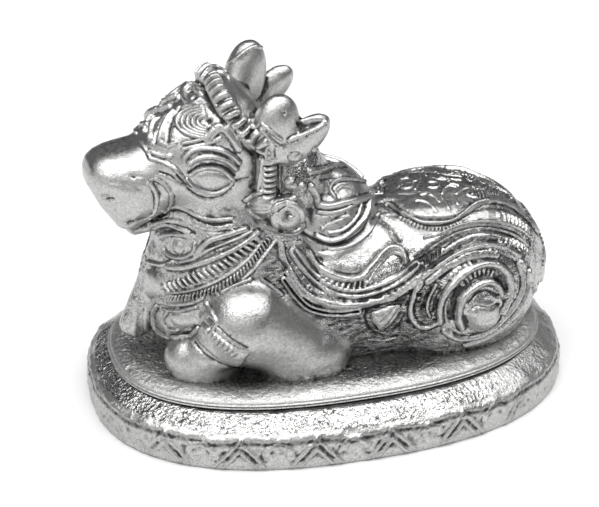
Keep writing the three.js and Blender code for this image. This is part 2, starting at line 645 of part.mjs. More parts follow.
// A closed solid whose plan is the squared oval. rowsAt gives, for a share of the way round, the rows
// [inset, height] from its foot to its top.
function ovalSolid(length, width, steps, rowsAt) {
  const vertices = [];
  const triangles = [];
  const angles = evenAngles(length, width, steps);
  const columns = angles.map((angle, i) =>
    rowsAt(i / steps).map(([inset, z]) => [...ovalPoint(angle, length / 2 - inset, width / 2 - inset), z]),
  );
  const rows = columns[0].length;
  for (const column of columns) vertices.push(...column);
  for (let i = 0; i < steps; i++)
    for (let row = 0; row < rows - 1; row++) {
      const a = i * rows + row;
      const b = ((i + 1) % steps) * rows + row;
      triangles.push([a, b, b + 1], [a, b + 1, a + 1]);
    }
  const foot = vertices.length;
  vertices.push([0, 0, columns[0][0][2]], [0, 0, columns[0][rows - 1][2]]);
  for (let i = 0; i < steps; i++) {
    const j = (i + 1) % steps;
    triangles.push([j * rows, i * rows, foot], [i * rows + rows - 1, j * rows + rows - 1, foot + 1]);
  }
  return { vertices, triangles };
}

// Height of a petal's outline at a share of the way across it, from 0 at its foot to 1 at its point
const petalRise = (share) => 1 - Math.abs(2 * share - 1) ** 0.9;

function makePlinth() {
  const topInset = (PLINTH_LENGTH - SLAB_LENGTH) / 2;
  const reach = BAND_HEIGHT - PETAL_RIM - PETAL_FOOT - 2 * PETAL_LINE;
  const solid = ovalSolid(PLINTH_LENGTH, PLINTH_WIDTH, PETAL_COUNT * PETAL_STEPS, (share) => {
    const low = PETAL_FOOT + reach * petalRise((share * PETAL_COUNT + 1 - PETAL_TURN) % 1);
    return [
      [0, 0],
      [0, low],
      [-PETAL_RELIEF, low + PETAL_LINE / 2],
      [0, low + PETAL_LINE],
      [-PETAL_RELIEF, low + 1.5 * PETAL_LINE],
      [0, low + 2 * PETAL_LINE],
      [0, BAND_HEIGHT - EDGE_CUT],
      [EDGE_CUT, BAND_HEIGHT],
      [topInset - 2 * EDGE_CUT, SLAB_FOOT - EDGE_CUT],
      [topInset, SLAB_FOOT],
    ];
  });
  const mesh = new THREE.Mesh(geometryOf(solid), silver("cast silver", 0.35));
  mesh.name = "plinth";
  return mesh;
}

// Heights are above the slab's top
function makeSlab() {
  const beadHeight = (SLAB_THICKNESS - SLAB_DROP) / 2;
  const rows = [
    [SLAB_BEAD, -SLAB_THICKNESS],
    [0, -SLAB_DROP - 1.5 * beadHeight],
    [SLAB_BEAD, -SLAB_DROP - beadHeight],
    [0, -SLAB_DROP - 0.5 * beadHeight],
    [SLAB_BEAD, -SLAB_DROP],
    [SLAB_SHOULDER / 2, -0.3 * SLAB_DROP],
    [SLAB_SHOULDER, 0],
  ];
  return ovalSolid(SLAB_LENGTH, SLAB_WIDTH, OVAL_STEPS, () => rows);
}

function makeBull() {
  const { vertices, triangles } = surfaceNet(bullField, FIELD_LOW, FIELD_HIGH, FIELD_STEP);
  const figure = { vertices: settle(vertices, bullField, 2).map((p) => mul(p, BULL_SCALE)), triangles };
  const casting = thin(joined(figure, makeSlab()), BULL_TRIANGLES);
  const mesh = new THREE.Mesh(geometryOf(casting), silver("polished silver", 0.2));
  mesh.name = "nandi_bull";
  mesh.position.z = SLAB_TOP;
  return mesh;
}

const nandi = new THREE.Group();
nandi.name = "nandi";
nandi.add(makeBull(), makePlinth());
export default nandi;
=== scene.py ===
import bpy
import numpy as np
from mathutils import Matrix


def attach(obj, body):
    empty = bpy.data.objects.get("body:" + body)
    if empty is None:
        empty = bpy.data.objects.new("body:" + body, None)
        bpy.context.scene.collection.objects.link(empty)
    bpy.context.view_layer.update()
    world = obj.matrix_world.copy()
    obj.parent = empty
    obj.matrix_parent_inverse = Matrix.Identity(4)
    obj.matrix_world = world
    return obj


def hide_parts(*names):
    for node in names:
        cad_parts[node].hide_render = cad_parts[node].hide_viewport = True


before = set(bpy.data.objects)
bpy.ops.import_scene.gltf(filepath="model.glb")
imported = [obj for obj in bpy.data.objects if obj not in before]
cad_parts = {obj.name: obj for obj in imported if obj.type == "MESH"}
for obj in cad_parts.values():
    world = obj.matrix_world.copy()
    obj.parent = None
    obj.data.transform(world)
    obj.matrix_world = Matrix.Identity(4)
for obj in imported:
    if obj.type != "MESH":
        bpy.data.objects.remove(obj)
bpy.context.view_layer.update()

import openvdb
from mathutils import Vector

# THE CAMERA. It stands where the photograph was taken from: to the left of the bull's front, above it.
# Lengths are in millimetres all through this script, and cast_piece turns them into metres.
# The carving is drawn where the photograph shows it, so its places are pixels of that picture.
photo_size = np.array([599, 507])
focal_pixels = 2031.5
camera_distance = 250
target = np.array([-3.282, 0, 17.367])
azimuth, elevation = np.radians([-15.317, 29.144])
back = np.array([
    np.sin(azimuth) * np.cos(elevation), -np.cos(azimuth) * np.cos(elevation), np.sin(elevation)])
right = np.array([np.cos(azimuth), np.sin(azimuth), 0])
up = np.cross(back, right)
eye = target + camera_distance * back


def sight_lines(places):
    """The directions in which the camera sees these places of the photograph."""
    across, down = (np.array(places, float) - photo_size / 2).T / focal_pixels
    lines = np.outer(across, right) - np.outer(down, up) - back
    return lines / np.linalg.norm(lines, axis=1)[:, None]


camera = bpy.data.objects.new("camera", bpy.data.cameras.new("camera"))
bpy.context.scene.collection.objects.link(camera)
camera.data.sensor_width = 36
camera.data.lens = focal_pixels / photo_size[0] * camera.data.sensor_width
camera.data.clip_start = 0.01
camera.location = Vector(eye) / 1000
camera.rotation_mode = "QUATERNION"
camera.rotation_quaternion = Vector(-back).to_track_quat("-Z", "Y")
bpy.context.scene.camera = camera

# THE PLINTH. A low oval of cast silver, flat under its foot. Its upright band was carved in the
# wax with double-lined pointed petals and a small round petal between each two, and its sloping apron
# was left as it was patted out by hand, so it is all small bright facets.
plinth_length, plinth_width = 60, 41.8
oval_power = 2.4
band_height = 4.4
apron_rise = 1.65
slab_length, slab_width, slab_thickness = 54.8, 34.2, 0.95
slab_foot = band_height + apron_rise
petal_count = 18
petal_turn = 0.27  # in petals, from the bull's tail end
petal_relief = 0.27
petal_steepness = 1.12  # how fast a petal's sides rise towards its point
petal_lines_apart = 1.35
rim_inset = 0.42  # how far the band's worn top edge is rounded back


def oval_angles(length, width, count):
    """Angles that part a squared oval's edge into equal lengths, and the length of that edge."""
    turn = np.linspace(0, 2 * np.pi, 7201)
    edge = oval(turn, length, width)
    lengths = np.concatenate([[0], np.cumsum(np.hypot(*np.diff(edge, axis=0).T))])
    return np.interp(np.arange(count) / count * lengths[-1], lengths, turn), lengths[-1]


def oval(angles, length, width):
    """Points of a squared oval at these angles."""
    c, s = np.cos(angles), np.sin(angles)
    return np.stack([
        length / 2 * np.sign(c) * np.abs(c) ** (2 / oval_power),
        width / 2 * np.sign(s) * np.abs(s) ** (2 / oval_power)], -1)


def lumps(points, size, seed=0):
    """Smooth noise from -1 to 1, whose lumps are about size millimetres across."""
    table = np.random.default_rng(seed).uniform(-1, 1, 4096)
    cell = np.floor(points / size).astype(np.int64)
    part = points / size - cell
    part = part * part * (3 - 2 * part)
    total = np.zeros(len(points))
    for corner in np.ndindex(2, 2, 2):
        mixed = (cell + corner) * (73856093, 19349663, 83492791)
        share = np.where(corner, part, 1 - part).prod(-1)
        total += share * table[(mixed[:, 0] ^ mixed[:, 1] ^ mixed[:, 2]) & 4095]
    return total


def ridge(across, half):
    """A round cord's height over its width, from 1 on its crest to 0 at half the width from it."""
    return np.clip(1 - (across / half) ** 2, 0, 1)


def step_between(x, low, high):
    """0 below low, 1 above high, and smooth between them."""
    t = np.clip((x - low) / (high - low), 0, 1)
    return t * t * (3 - 2 * t)


def spread(values, faces, rounds):
    """Evens out values over the mesh: each vertex takes its neighbours' mean, so many times."""
    edges = np.concatenate([faces[:, [0, 1]], faces[:, [1, 2]], faces[:, [2, 0]]])
    count = np.bincount(edges[:, 1], minlength=len(values))
    for _ in range(rounds):
        columns = [np.bincount(edges[:, 1], c[edges[:, 0]], len(values)) for c in values.T]
        values = (np.stack(columns, 1) + values) / (count + 1)[:, None]
    return values


def facing(points, faces):
    """The mesh's outward direction at each vertex."""
    a, b, c = (points[faces[:, i]] for i in range(3))
    flat = np.cross(b - a, c - a)
    total = np.stack([
        sum(np.bincount(faces[:, i], flat[:, k], len(points)) for i in range(3)) for k in range(3)], 1)
    return total / np.maximum(np.linalg.norm(total, axis=1), 1e-12)[:, None]


def hollows(points, faces, rounds, depth):
    """How far each vertex lies below its surroundings, from 0, level or proud, to 1, depth below them."""
    sunk = ((spread(points, faces, rounds) - points) * facing(points, faces)).sum(1)
    return np.clip(sunk / depth, 0, 1)


def cast_piece(name, points, faces, outward=None, **marks):
    """A mesh object from points in millimetres. Each mark is kept on its vertices for the finish."""
    mesh = bpy.data.meshes.new(name)
    mesh.vertices.add(len(points))
    mesh.vertices.foreach_set("co", (points / 1000).astype(np.float32).ravel())
    mesh.loops.add(faces.size)
    mesh.loops.foreach_set("vertex_index", faces.astype(np.int32).ravel())
    mesh.polygons.add(len(faces))
    mesh.polygons.foreach_set("loop_start", np.arange(0, faces.size, 3, dtype=np.int32))
    mesh.update(calc_edges=True)
    mesh.shade_smooth()
    if outward is not None:
        mesh.normals_split_custom_set_from_vertices(outward)
    for mark, values in marks.items():
        mesh.attributes.new(mark, "FLOAT", "POINT").data.foreach_set("value", values.astype(np.float32))
    piece = bpy.data.objects.new(name, mesh)
    bpy.context.scene.collection.objects.link(piece)
    return piece


def ring_faces(columns, rows):
    """Triangles of a closed band of columns, each of so many rows from its foot to its top."""
    column, row = np.meshgrid(np.arange(columns), np.arange(rows - 1), indexing="ij")
    a = (column * rows + row).ravel()
    b = (((column + 1) % columns) * rows + row).ravel()
    return np.concatenate([np.stack([a, b, b + 1], 1), np.stack([a, b + 1, a + 1], 1)])


def closed_ring(grid):
    """Points and triangles of a ring of [column, row] points, with its foot and its top closed."""
    columns, rows = grid.shape[:2]
    points = np.concatenate([grid.reshape(-1, 3), grid[:, 0].mean(0)[None], grid[:, -1].mean(0)[None]])
    here = np.arange(columns) * rows
    following = np.roll(here, -1)
    foot, top = columns * rows, columns * rows + 1
    faces = np.concatenate([
        ring_faces(columns, rows),
        np.stack([following, here, np.full(columns, foot)], 1),
        np.stack([here + rows - 1, following + rows - 1, np.full(columns, top)], 1)])
    return points, faces


columns, band_rows, apron_rows = 960, 30, 23
angles, edge_length = oval_angles(plinth_length, plinth_width, columns)
round_band = np.arange(columns) / columns * petal_count - petal_turn
from_point = (round_band % 1 - 0.5) * edge_length / petal_count  # 0 at a petal's point
from_valley = ((round_band + 0.5) % 1 - 0.5) * edge_length / petal_count
# the rim waves up and down by 0.2 mm, as it was pinched in the wax
along_rim = np.stack([angles, angles * 0, angles * 0], 1)
rim_wave = lumps(along_rim * 6, 1.0, 3) + 0.5 * lumps(along_rim * 17, 1.0, 4)
rim_height = band_height - 0.2 + 0.12 * np.cos(round_band * 2 * np.pi + np.pi) + 0.2 * rim_wave

# the band, whose petal lines were cut by eye and wander a little
band_share = np.linspace(0, 1, band_rows)
height = band_share * rim_height[:, None]
along_edge = np.arange(columns)[:, None] * edge_length / columns
on_wax = np.stack(np.broadcast_arrays(along_edge, height, 0.5), -1).reshape(-1, 3)
wander = 0.16 * lumps(on_wax, 1.1, 21).reshape(height.shape)
petal_top = rim_height - 0.1
outer_line = height - (petal_top - petal_steepness * np.abs(from_point))[:, None] + 0.25 + wander
inner_line = outer_line + petal_lines_apart
small_petal = np.hypot(from_valley[:, None] / 1.5, (height - 2.1) / 1.3) - 1
petals = np.maximum(ridge(outer_line, 0.42), ridge(inner_line, 0.4))
petals = np.where(height > 0.35, petals, 0)
petals = np.maximum(petals, 0.8 * ridge(small_petal, 0.3) * (height > 1.9) * (outer_line > 0.3))
rolled_rim = rim_inset * np.clip((band_share - 0.78) / 0.22, 0, 1) ** 2
edge_roll = rolled_rim + 0.1 * np.clip((0.06 - band_share) / 0.06, 0, 1)

# the apron, up to just under the slab's foot
apron_share = np.linspace(0, 1, apron_rows + 1)[1:]
apron_inset = rim_inset + apron_share * ((plinth_length - slab_length) / 2 + 0.38)
apron_height = rim_height[:, None] + (slab_foot - 0.05 - rim_height[:, None]) * apron_share ** 0.85

inset = np.concatenate([
    np.broadcast_to(edge_roll, petals.shape), np.broadcast_to(apron_inset, (columns, apron_rows))], 1)
height = np.concatenate([height, apron_height], 1)
sides = [oval(angles, plinth_length - 2 * d, plinth_width - 2 * d) for d in inset.T]
grid = np.concatenate([np.stack(sides, 1), height[..., None]], -1)
points, faces = closed_ring(grid)
outward = facing(points, faces)
# the petals are rubbed low at the two ends, and a groove runs under the rim
rubbed = 1 - 0.6 * step_between(np.abs(np.cos(angles) + 0.1), 0.55, 0.8)
rim_groove = ridge(height[:, :band_rows] - rim_height[:, None] + 0.66, 0.42)
carved = np.zeros((columns, band_rows + apron_rows))
carved[:, :band_rows] = petal_relief * petals * rubbed[:, None] - 0.12 * rim_groove
apron_row = np.arange(apron_rows)
patted = np.zeros(carved.shape)
patted[:, band_rows:] = np.clip(apron_row / 4, 0, 1) * np.clip((22 - apron_row) / 2, 0, 1)
# the two closing points, of the foot and the top, are plain
carved, patted = np.append(carved, [0, 0]), np.append(patted, [0, 0])
rim_groove = np.append(np.pad(rim_groove, ((0, 0), (0, apron_rows))), [0, 0])
rough = 0.08 * lumps(points, 2.6, 1) + 0.05 * lumps(points * [1, 1, 1.5], 0.9, 2)
rough += 0.03 * lumps(points, 0.45, 5)
rough *= 1 - 0.7 * step_between(points[:, 0], 10, 20)  # patted smoother at the tail's end
on_band = (points[:, 2] > 0.2) & (points[:, 2] < 4.3)
cast = on_band * (0.07 * lumps(points, 0.8, 4) + 0.05 * lumps(points, 0.4, 6))
points = points + outward * (carved + patted * rough + cast - 0.04)[:, None]
np.clip(points[:, 2], 0, slab_foot, points[:, 2])
# soot in the fine hollows of the petals, and painted shade in the broad hollows; the band a little darker
# all over; in the groove under the overhanging rim, soot and a painted shadow
plinth_soot = np.clip(
    1.0 * hollows(points, faces, 12, 0.16) + 0.35 * hollows(points, faces, 60, 0.5)
    + 0.12 * on_band + 0.4 * rim_groove, 0, 1)
under_slab = step_between(points[:, 2], slab_foot - 0.25, slab_foot - 0.02)
plinth = cast_piece(
    "petal_plinth", points, faces, soot=np.maximum(plinth_soot, under_slab), streaked=patted * 0,
    patted=np.maximum(patted, 0.35) * (1 - 0.6 * step_between(points[:, 0], 10, 20)))


def linear(colour):
    """A colour's linear values from its sRGB hex."""
    parts = np.array([int(colour[i:i + 2], 16) for i in (1, 3, 5)]) / 255
    return [*np.where(parts > 0.04045, ((parts + 0.055) / 1.055) ** 2.4, parts / 12.92), 1]


def add_node(tree, kind, inputs={}, **settings):
    """Adds a node, sets it, and sets or links its inputs, each a value or another node's output."""
    node = tree.nodes.new(kind)
    for name, value in settings.items():
        setattr(node, name, value)
    for name, value in inputs.items():
        if isinstance(value, bpy.types.NodeSocket):
            tree.links.new(value, node.inputs[name])
        else:
            node.inputs[name].default_value = value
    return node


def cast_silver(name, clean_roughness, sooty_roughness, facet_mm, facet_depth_mm):
    """Sterling silver, cast from carved wax, buffed on its high places and left black in its hollows.
    The same black, from the mesh's dark mark, also paints shade and dark reflections.
    The buffing gives broad soft highlights, and the patted grounds small broken ones."""
    material = bpy.data.materials.new(name)
    material.use_nodes = True
    tree = material.node_tree
    shader = tree.nodes["Principled BSDF"]
    place = add_node(tree, "ShaderNodeTexCoord").outputs["Object"]
    soot, patted, streaked = [
        add_node(tree, "ShaderNodeAttribute", attribute_name=mark).outputs["Fac"]
        for mark in ("soot", "patted", "streaked")]

    def grains(size_mm, place=place, **inputs):
        """Noise from 0 to 1, whose grains are of this size."""
        return add_node(
            tree, "ShaderNodeTexNoise", {"Vector": place, "Scale": 1000 / size_mm, **inputs}).outputs["Fac"]

    def worked_out(operation, *inputs):
        return add_node(tree, "ShaderNodeMath", dict(enumerate(inputs)), operation=operation).outputs[0]

    def graded(value, low, high, start=0, end=1, **settings):
        """start where the value is low, end where it is high."""
        return add_node(tree, "ShaderNodeMapRange", {
            "Value": value, "From Min": low, "From Max": high, "To Min": start, "To Max": end},
            **settings).outputs["Result"]

    # soot, and the painted shade and dark reflections that share its mark, lie in broken patches: the edge
    # is moved about by noise with 0.5 mm grains
    edge = worked_out("ADD", grains(0.5, Detail=3), -0.5)
    edge = worked_out("MULTIPLY_ADD", edge, 0.7, soot)
    sooty = graded(edge, 0.1, 0.75, interpolation_type="SMOOTHSTEP")
    # the casting's skin is finely pitted, and the pits, 0.16 mm apart, hold soot too
    skin = grains(0.16, Detail=2)
    dark = worked_out("MAXIMUM", sooty, graded(skin, 0.46, 0.72, 0, 0.5))
    # the graver's short strokes lie along the body, dark between them
    along_body = add_node(tree, "ShaderNodeMapping", {
        "Vector": place, "Scale": (0.3, 1, 1.1), "Rotation": (0, 0.12, 0)}).outputs[0]
    strokes = grains(0.35, along_body, Detail=4, Roughness=0.65)
    between_strokes = worked_out("MULTIPLY", graded(strokes, 0.44, 0.56, 0, 0.85), streaked)
    dark = worked_out("MAXIMUM", dark, between_strokes)
    # the patted grounds are creased: thin dark lines wander over them
    wavy = grains(facet_mm * 1.4, Detail=4, Distortion=0.6)
    from_crease = worked_out("ABSOLUTE", worked_out("SUBTRACT", wavy, 0.5))
    creases = worked_out("MULTIPLY", graded(from_crease, 0.006, 0.03, 1.6, 0), patted)
    dark = worked_out("MAXIMUM", dark, creases)
    # clean silver, and the black of soot, pits and creases, which also serves as painted shade and painted
    # dark reflection
    clean_and_black = {6: linear("#C6C6C5"), 7: linear("#434242")}
    colour = add_node(tree, "ShaderNodeMix", {"Factor": dark, **clean_and_black}, data_type="RGBA")
    tree.links.new(colour.outputs[2], shader.inputs["Base Color"])

    # wear: long faint clouds 4 mm across in the polish. Worked grounds catch the light more sharply.
    worn = graded(grains(4, Detail=5), 0.3, 0.7, clean_roughness, clean_roughness + 0.08)
    roughness = add_node(tree, "ShaderNodeMix", {
        "Factor": sooty, "A": worn, "B": sooty_roughness}).outputs[0]
    roughness = worked_out("MULTIPLY_ADD", patted, -0.16, roughness)
    roughness = worked_out("MULTIPLY_ADD", streaked, -0.14, roughness)
    tree.links.new(roughness, shader.inputs["Roughness"])
    shader.inputs["Metallic"].default_value = 1

    # low relief: patted facets, the graver's strokes and the casting's grain
    facets = add_node(tree, "ShaderNodeTexVoronoi", {
        "Vector": place, "Scale": 1000 / facet_mm, "Smoothness": 0.4}, feature="SMOOTH_F1")
    raised = worked_out("MULTIPLY", worked_out("ADD", facets.outputs["Distance"], wavy), patted)
    raised = worked_out("MULTIPLY_ADD", worked_out("MULTIPLY", strokes, streaked), -5.0, raised)
    raised = worked_out("MULTIPLY_ADD", skin, 0.5, raised)
    bump = add_node(tree, "ShaderNodeBump", {
        "Height": raised, "Strength": 1, "Distance": facet_depth_mm / 1000})
    tree.links.new(bump.outputs["Normal"], shader.inputs["Normal"])
    return material


plinth.data.materials.append(cast_silver(
    "patted_cast_silver", clean_roughness=0.36, sooty_roughness=0.5, facet_mm=0.45, facet_depth_mm=0.11))
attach(plinth, "root")
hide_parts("plinth")

# THE SLAB. The thin oval that the bull lies on, of one casting with it. Two round beads run along its
# edge, and over them its top rises to a low round rim, which the buff has rubbed unevenly.
slab_top = slab_foot + slab_thickness
columns = 900
angles, _ = oval_angles(slab_length, slab_width, columns)
profile = np.array([  # each [in from the edge, above slab_top], from its foot to its middle
    [0.4, -0.95], [0.12, -0.92], [0.03, -0.84], [0.1, -0.74], [0.28, -0.69], [0.3, -0.65],
    [0.14, -0.6], [0.08, -0.51], [0.16, -0.42], [0.3, -0.37], [0.33, -0.33], [0.34, -0.26],
    [0.42, -0.15], [0.56, -0.03], [0.8, 0.1], [1.2, 0.27], [1.7, 0.42], [2.2, 0.49],
    [2.8, 0.48], [3.6, 0.38], [4.6, 0.2], [6, 0.05], [8, 0], [11, 0]])
run = np.concatenate([[0], np.cumsum(np.hypot(*np.diff(profile, axis=0).T))])
fine_run = np.concatenate([np.arange(0, 2.2, 0.07), np.arange(2.2, 8, 0.2), np.linspace(8, run[-1], 10)])
inset = np.interp(fine_run, run, profile[:, 0])
height = slab_top + np.interp(fine_run, run, profile[:, 1])
sides = [oval(angles, slab_length - 2 * d, slab_width - 2 * d) for d in inset]
grid = np.stack([np.column_stack([side, np.full(columns, z)]) for side, z in zip(sides, height)], 1)
points, faces = closed_ring(grid)
on_top = step_between(points[:, 2], slab_top - 0.2, slab_top + 0.2)
rubbed_unevenly = (
    0.06 * lumps(points, 2.6, 7) + 0.06 * lumps(points, 0.9, 8) + 0.03 * lumps(points, 0.45, 9))
points[:, 2] -= on_top * (0.05 + rubbed_unevenly)
# soot stays between the beads, in the joint below them and round the bull, inside the raised rim
between_beads = np.clip(1.2 * hollows(points, faces, 10, 0.07) * (1 - on_top), 0, 1)
from_middle = np.hypot(points[:, 0] / (slab_length / 2 - 3), points[:, 1] / (slab_width / 2 - 3))
inside_rim = on_top * step_between(from_middle, 1.12, 0.96)
slab_soot = np.maximum(between_beads, inside_rim * (0.06 + 0.1 * lumps(points, 0.8, 10)))
in_joint = step_between(-points[:, 2], -slab_foot - 0.15, -slab_foot - 0.03)
slab = cast_piece(
    "slab", points, faces, soot=np.maximum(slab_soot, in_joint),
    patted=0.12 + 0.2 * on_top + 0.55 * inside_rim, streaked=on_top * 0)
slab.data.materials.append(cast_silver(
    "smoothed_cast_silver", clean_roughness=0.42, sooty_roughness=0.55, facet_mm=0.5, facet_depth_mm=0.17))
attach(slab, "root")
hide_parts("nandi_bull")

# THE BULL'S FORM. It was modelled in wax as plain full masses: barrel, chest, hump, folded legs, and a
# head with horns, ears and ear discs. Each mass is a distance to its skin, and fuse joins them.


def ellipsoid(centre, radii, pitch=0):
    """An egg with these half axes along x, y and z, tipped up at its back by pitch degrees."""
    c, s = np.cos(np.radians(pitch)), np.sin(np.radians(pitch))

    def distance(p):
        dx, dy, dz = (p - centre).T
        x, y, z = (dx * c + dz * s) / radii[0], dy / radii[1], (dz * c - dx * s) / radii[2]
        shell = np.sqrt(x * x + y * y + z * z)
        slope = np.sqrt((x / radii[0]) ** 2 + (y / radii[1]) ** 2 + (z / radii[2]) ** 2)
        return shell * (shell - 1) / np.maximum(slope, 1e-9)
    return distance


def limb(start, end, start_radius, end_radius, flat=1):
    """A tapering round bar between two points, flat times as thick from side to side."""
    start, way = np.array(start, float), np.subtract(end, start).astype(float)

    def distance(p):
        off = p - start
        t = np.clip(off @ way / (way @ way), 0, 1)
        off = (off - t[:, None] * way) / (1, flat, 1)
        return np.sqrt((off * off).sum(1)) - (start_radius + (end_radius - start_radius) * t)
    return distance


def inside_by(corners, x, z):
    """How far points are inside a closed outline, below 0 outside it."""
    nearest, inside = np.full(len(x), np.inf), np.zeros(len(x), bool)
    for (ax, az), (bx, bz) in zip(corners, np.roll(corners, 1, 0)):
        wide, tall = bx - ax, bz - az
        t = np.clip(((x - ax) * wide + (z - az) * tall) / max(wide ** 2 + tall ** 2, 1e-9), 0, 1)
        nearest = np.minimum(nearest, np.hypot(x - ax - t * wide, z - az - t * tall))
        if tall:
            inside ^= ((az > z) != (bz > z)) & (x < wide * (z - az) / tall + ax)
    return np.where(inside, nearest, -nearest)


def plate(outline, widths, rounding):
    """A plate with the side outline of [x, z] corners, half widths [x, width], and rounded edges."""
    corners = np.array(outline, float)
    stations, halves = np.array(widths, float).T

    def distance(p):
        flat = rounding - inside_by(corners, p[:, 0], p[:, 2])
        half_here = np.interp(p[:, 0], stations, halves)
        side = np.abs(p[:, 1]) * halves.max() / half_here - (halves.max() - rounding)
        outside = np.hypot(np.maximum(flat, 0), np.maximum(side, 0))
        return outside + np.minimum(np.maximum(flat, side), 0) - rounding
    return distance


def mirrored(form):
    """The same form on the bull's other side."""
    return lambda p: form(p * (1, -1, 1))


def fuse(a, b, fillet):
    """Joins two distances with a fillet about this wide."""
    h = np.maximum(fillet - np.abs(a - b), 0) / fillet
    return np.minimum(a, b) - h * h * fillet / 4


hump = ellipsoid([-0.6, 0, 15], [6.4, 7.2, 7.1])
saddle_pad = plate(
    [(7.8, 9), (7.8, 14.6), (8.7, 16.3), (10.8, 16.9), (15, 16.5), (19, 16.1), (22, 14.4), (24, 11),
     (22, 8)],
    [(7, 5.8), (14, 6.8), (22, 6.2)], 2.2)
cloth_tail = ellipsoid([17.4, 0, 6], [10.6, 10.6, 10.4])  # it stands off the rump, down to a slanting hem
# each mass with the fillet that joins it to those before it
barrel_and_chest = [
    (limb([-9, 0, 6.6], [15, 0, 6], 9.8, 10.4, 1.1), 3),
    (ellipsoid([16.4, 0, 5.6], [10.6, 11.3, 11]), 3),
    (lambda p: np.maximum(cloth_tail(p), (31.2 - p[:, 0] - p[:, 2]) / np.sqrt(2)), 0.3),
    (saddle_pad, 1.2),
    (ellipsoid([-14.2, 0, 7.2], [8.4, 9.4, 10]), 3),
    (limb([-14, 0, 12], [-14.4, 0, 23], 7.5, 6.2, 0.95), 3),
    (limb([-10, 0, 14], [-6.5, 0, 21], 8.2, 6.2), 3),
    (limb([-20.9, 0, 13], [-24.1, 0, 3.8], 1.2, 1.9, 0.9), 1.5),
    (hump, 1.2)]
thigh = (ellipsoid([15, -8.8, 6.6], [9.1, 4.4, 7.9], 6), 1.5)
foreleg = [
    (limb([-5.2, -9, 2.6], [-12.4, -9, 7.2], 4, 5.3), 0.8),
    (limb([-2.8, -9.6, 1.4], [-7.4, -9.6, 1.4], 2.9, 2.9), 2),
    (limb([-13.8, -9.2, 6], [-17, -8.5, 3.4], 3.8, 2.9), 0.5),
    (ellipsoid([-17.2, -7.3, 2], [4.9, 3.6, 3.6], -12), 0.4)]
legs = [thigh] + foreleg
skull = plate(
    [(-9.4, 0), (-8.2, 2.2), (-6.2, 4.3), (-3.6, 5.8), (-1, 7.3), (0.9, 9), (2.9, 8.8), (6.4, 5),
     (7.2, 0), (6, -5.4), (2.6, -7.2), (-2.6, -7), (-5.4, -5.6), (-9, -6)],
    [(-9, 4.6), (-5.5, 6), (0, 6.8), (5, 6.6)], 4.8)
muzzle = plate(
    [(-14.9, -0.8), (-14.5, 0.2), (-13.6, 0.9), (-12.2, 1.4), (-9.6, 1.75), (-7.5, 1.8), (-5.6, 0.6),
     (-5.4, -6.4), (-10.2, -8.6), (-11.6, -8.1), (-13.5, -5.2), (-14.9, -2.2)],
    [(-14.8, 4.4), (-10, 5.2), (-6, 5.3)], 4.2)
lower_lip = limb([-9.6, 0, -8.5], [-6.6, 0, -8], 1.1, 1.2, 2.6)
left_horn = ellipsoid([6.5, -6.2, 4.5], [2.8, 2.1, 4], -12)
right_horn = ellipsoid([6.3, 6.2, 5.4], [2.6, 2.1, 4.9], -12)
face = [(skull, 1), (muzzle, 1.2), (lower_lip, 0.5), (left_horn, 0.6), (right_horn, 0.6)]
ears = [
    (ellipsoid([9.4, -7.2, 2.9], [4, 1.4, 2.1], 38), 0.5),
    (limb([5.6, -5, 1], [8.4, -6.8, 1.8], 1.6, 1.6), 0.5)]
strap_and_disc = [
    (limb([5.2, -6.6, 1.8], [5, -6.6, -5.4], 1.1, 1.3), 0.4),
    (ellipsoid([7.4, -7.9, -6], [2.2, 1.5, 2.2]), 0.8)]
neck_pivot = np.array([-14.5, 0, 26.5 + slab_top])
head_turn = np.radians(2)  # the bull looks a little to its left
turned = np.array([
    [np.cos(head_turn), -np.sin(head_turn), 0], [np.sin(head_turn), np.cos(head_turn), 0], [0, 0, 1]])
sunk_in_slab = 0.5


def fused(masses, p):
    """The distances of points p to all these masses as one."""
    total = np.full(len(p), np.inf)
    for form, fillet in masses:
        total = fuse(total, form(p), fillet)
    return total


def both_sides(masses):
    return masses + [(mirrored(form), fillet) for form, fillet in masses]


def to_head(p):
    """Points in the head's own frame, with x back from the neck and z up."""
    return (p - neck_pivot) @ turned


def body_form(p):
    return fused(barrel_and_chest + both_sides(legs), p - (0, 0, slab_top))


def head_form(p):
    return fused(face + both_sides(ears + strap_and_disc), to_head(p))


def bull_form(p):
    whole = fuse(body_form(p), head_form(p), 1)
    return np.maximum(whole, slab_top - sunk_in_slab - p[:, 2])


def skinned(form, low, high, step, block=4):
    """Points and triangles of a form's skin, from its distances on a grid. Only blocks of the grid
    that the skin can run through are worked out finely."""
    low, high = np.array(low, float), np.array(high, float)
    blocks = np.ceil((high - low) / step / block).astype(int)

    def grid_points(counts, size, shift):
        axes = [low[i] + (np.arange(counts[i]) + shift) * size for i in range(3)]
        return np.stack(np.meshgrid(*axes, indexing="ij"), -1)
    coarse = form(grid_points(blocks, step * block, 0.5).reshape(-1, 3)).reshape(blocks)
    values = coarse
    for axis in range(3):
        values = values.repeat(block, axis)
    near = np.abs(values) < block * step * 1.2
    values[near] = form(grid_points(blocks * block, step, 0)[near])
    volume = openvdb.FloatGrid(float(values.max()))
    volume.copyFromArray(np.clip(values, -3, 3).astype(np.float32))
    points, quads = volume.convertToQuads(isovalue=0)
    quads = quads.astype(np.int64)
    return low + points * step, np.concatenate([quads[:, [0, 1, 2]], quads[:, [0, 2, 3]]])


def slope_of(form, p, e=0.02):
    """The outward direction of a form's skin near points p, and the distances there."""
    here = form(p)
    slope = np.stack([(form(p + e * axis) - here) / e for axis in np.eye(3)], 1)
    return slope, here


def settled(form, p, rounds):
    """Points p moved onto a form's skin."""
    for _ in range(rounds):
        slope, here = slope_of(form, p)
        p = p - slope * np.clip(here / np.maximum((slope ** 2).sum(1), 0.05), -0.2, 0.2)[:, None]
    return p


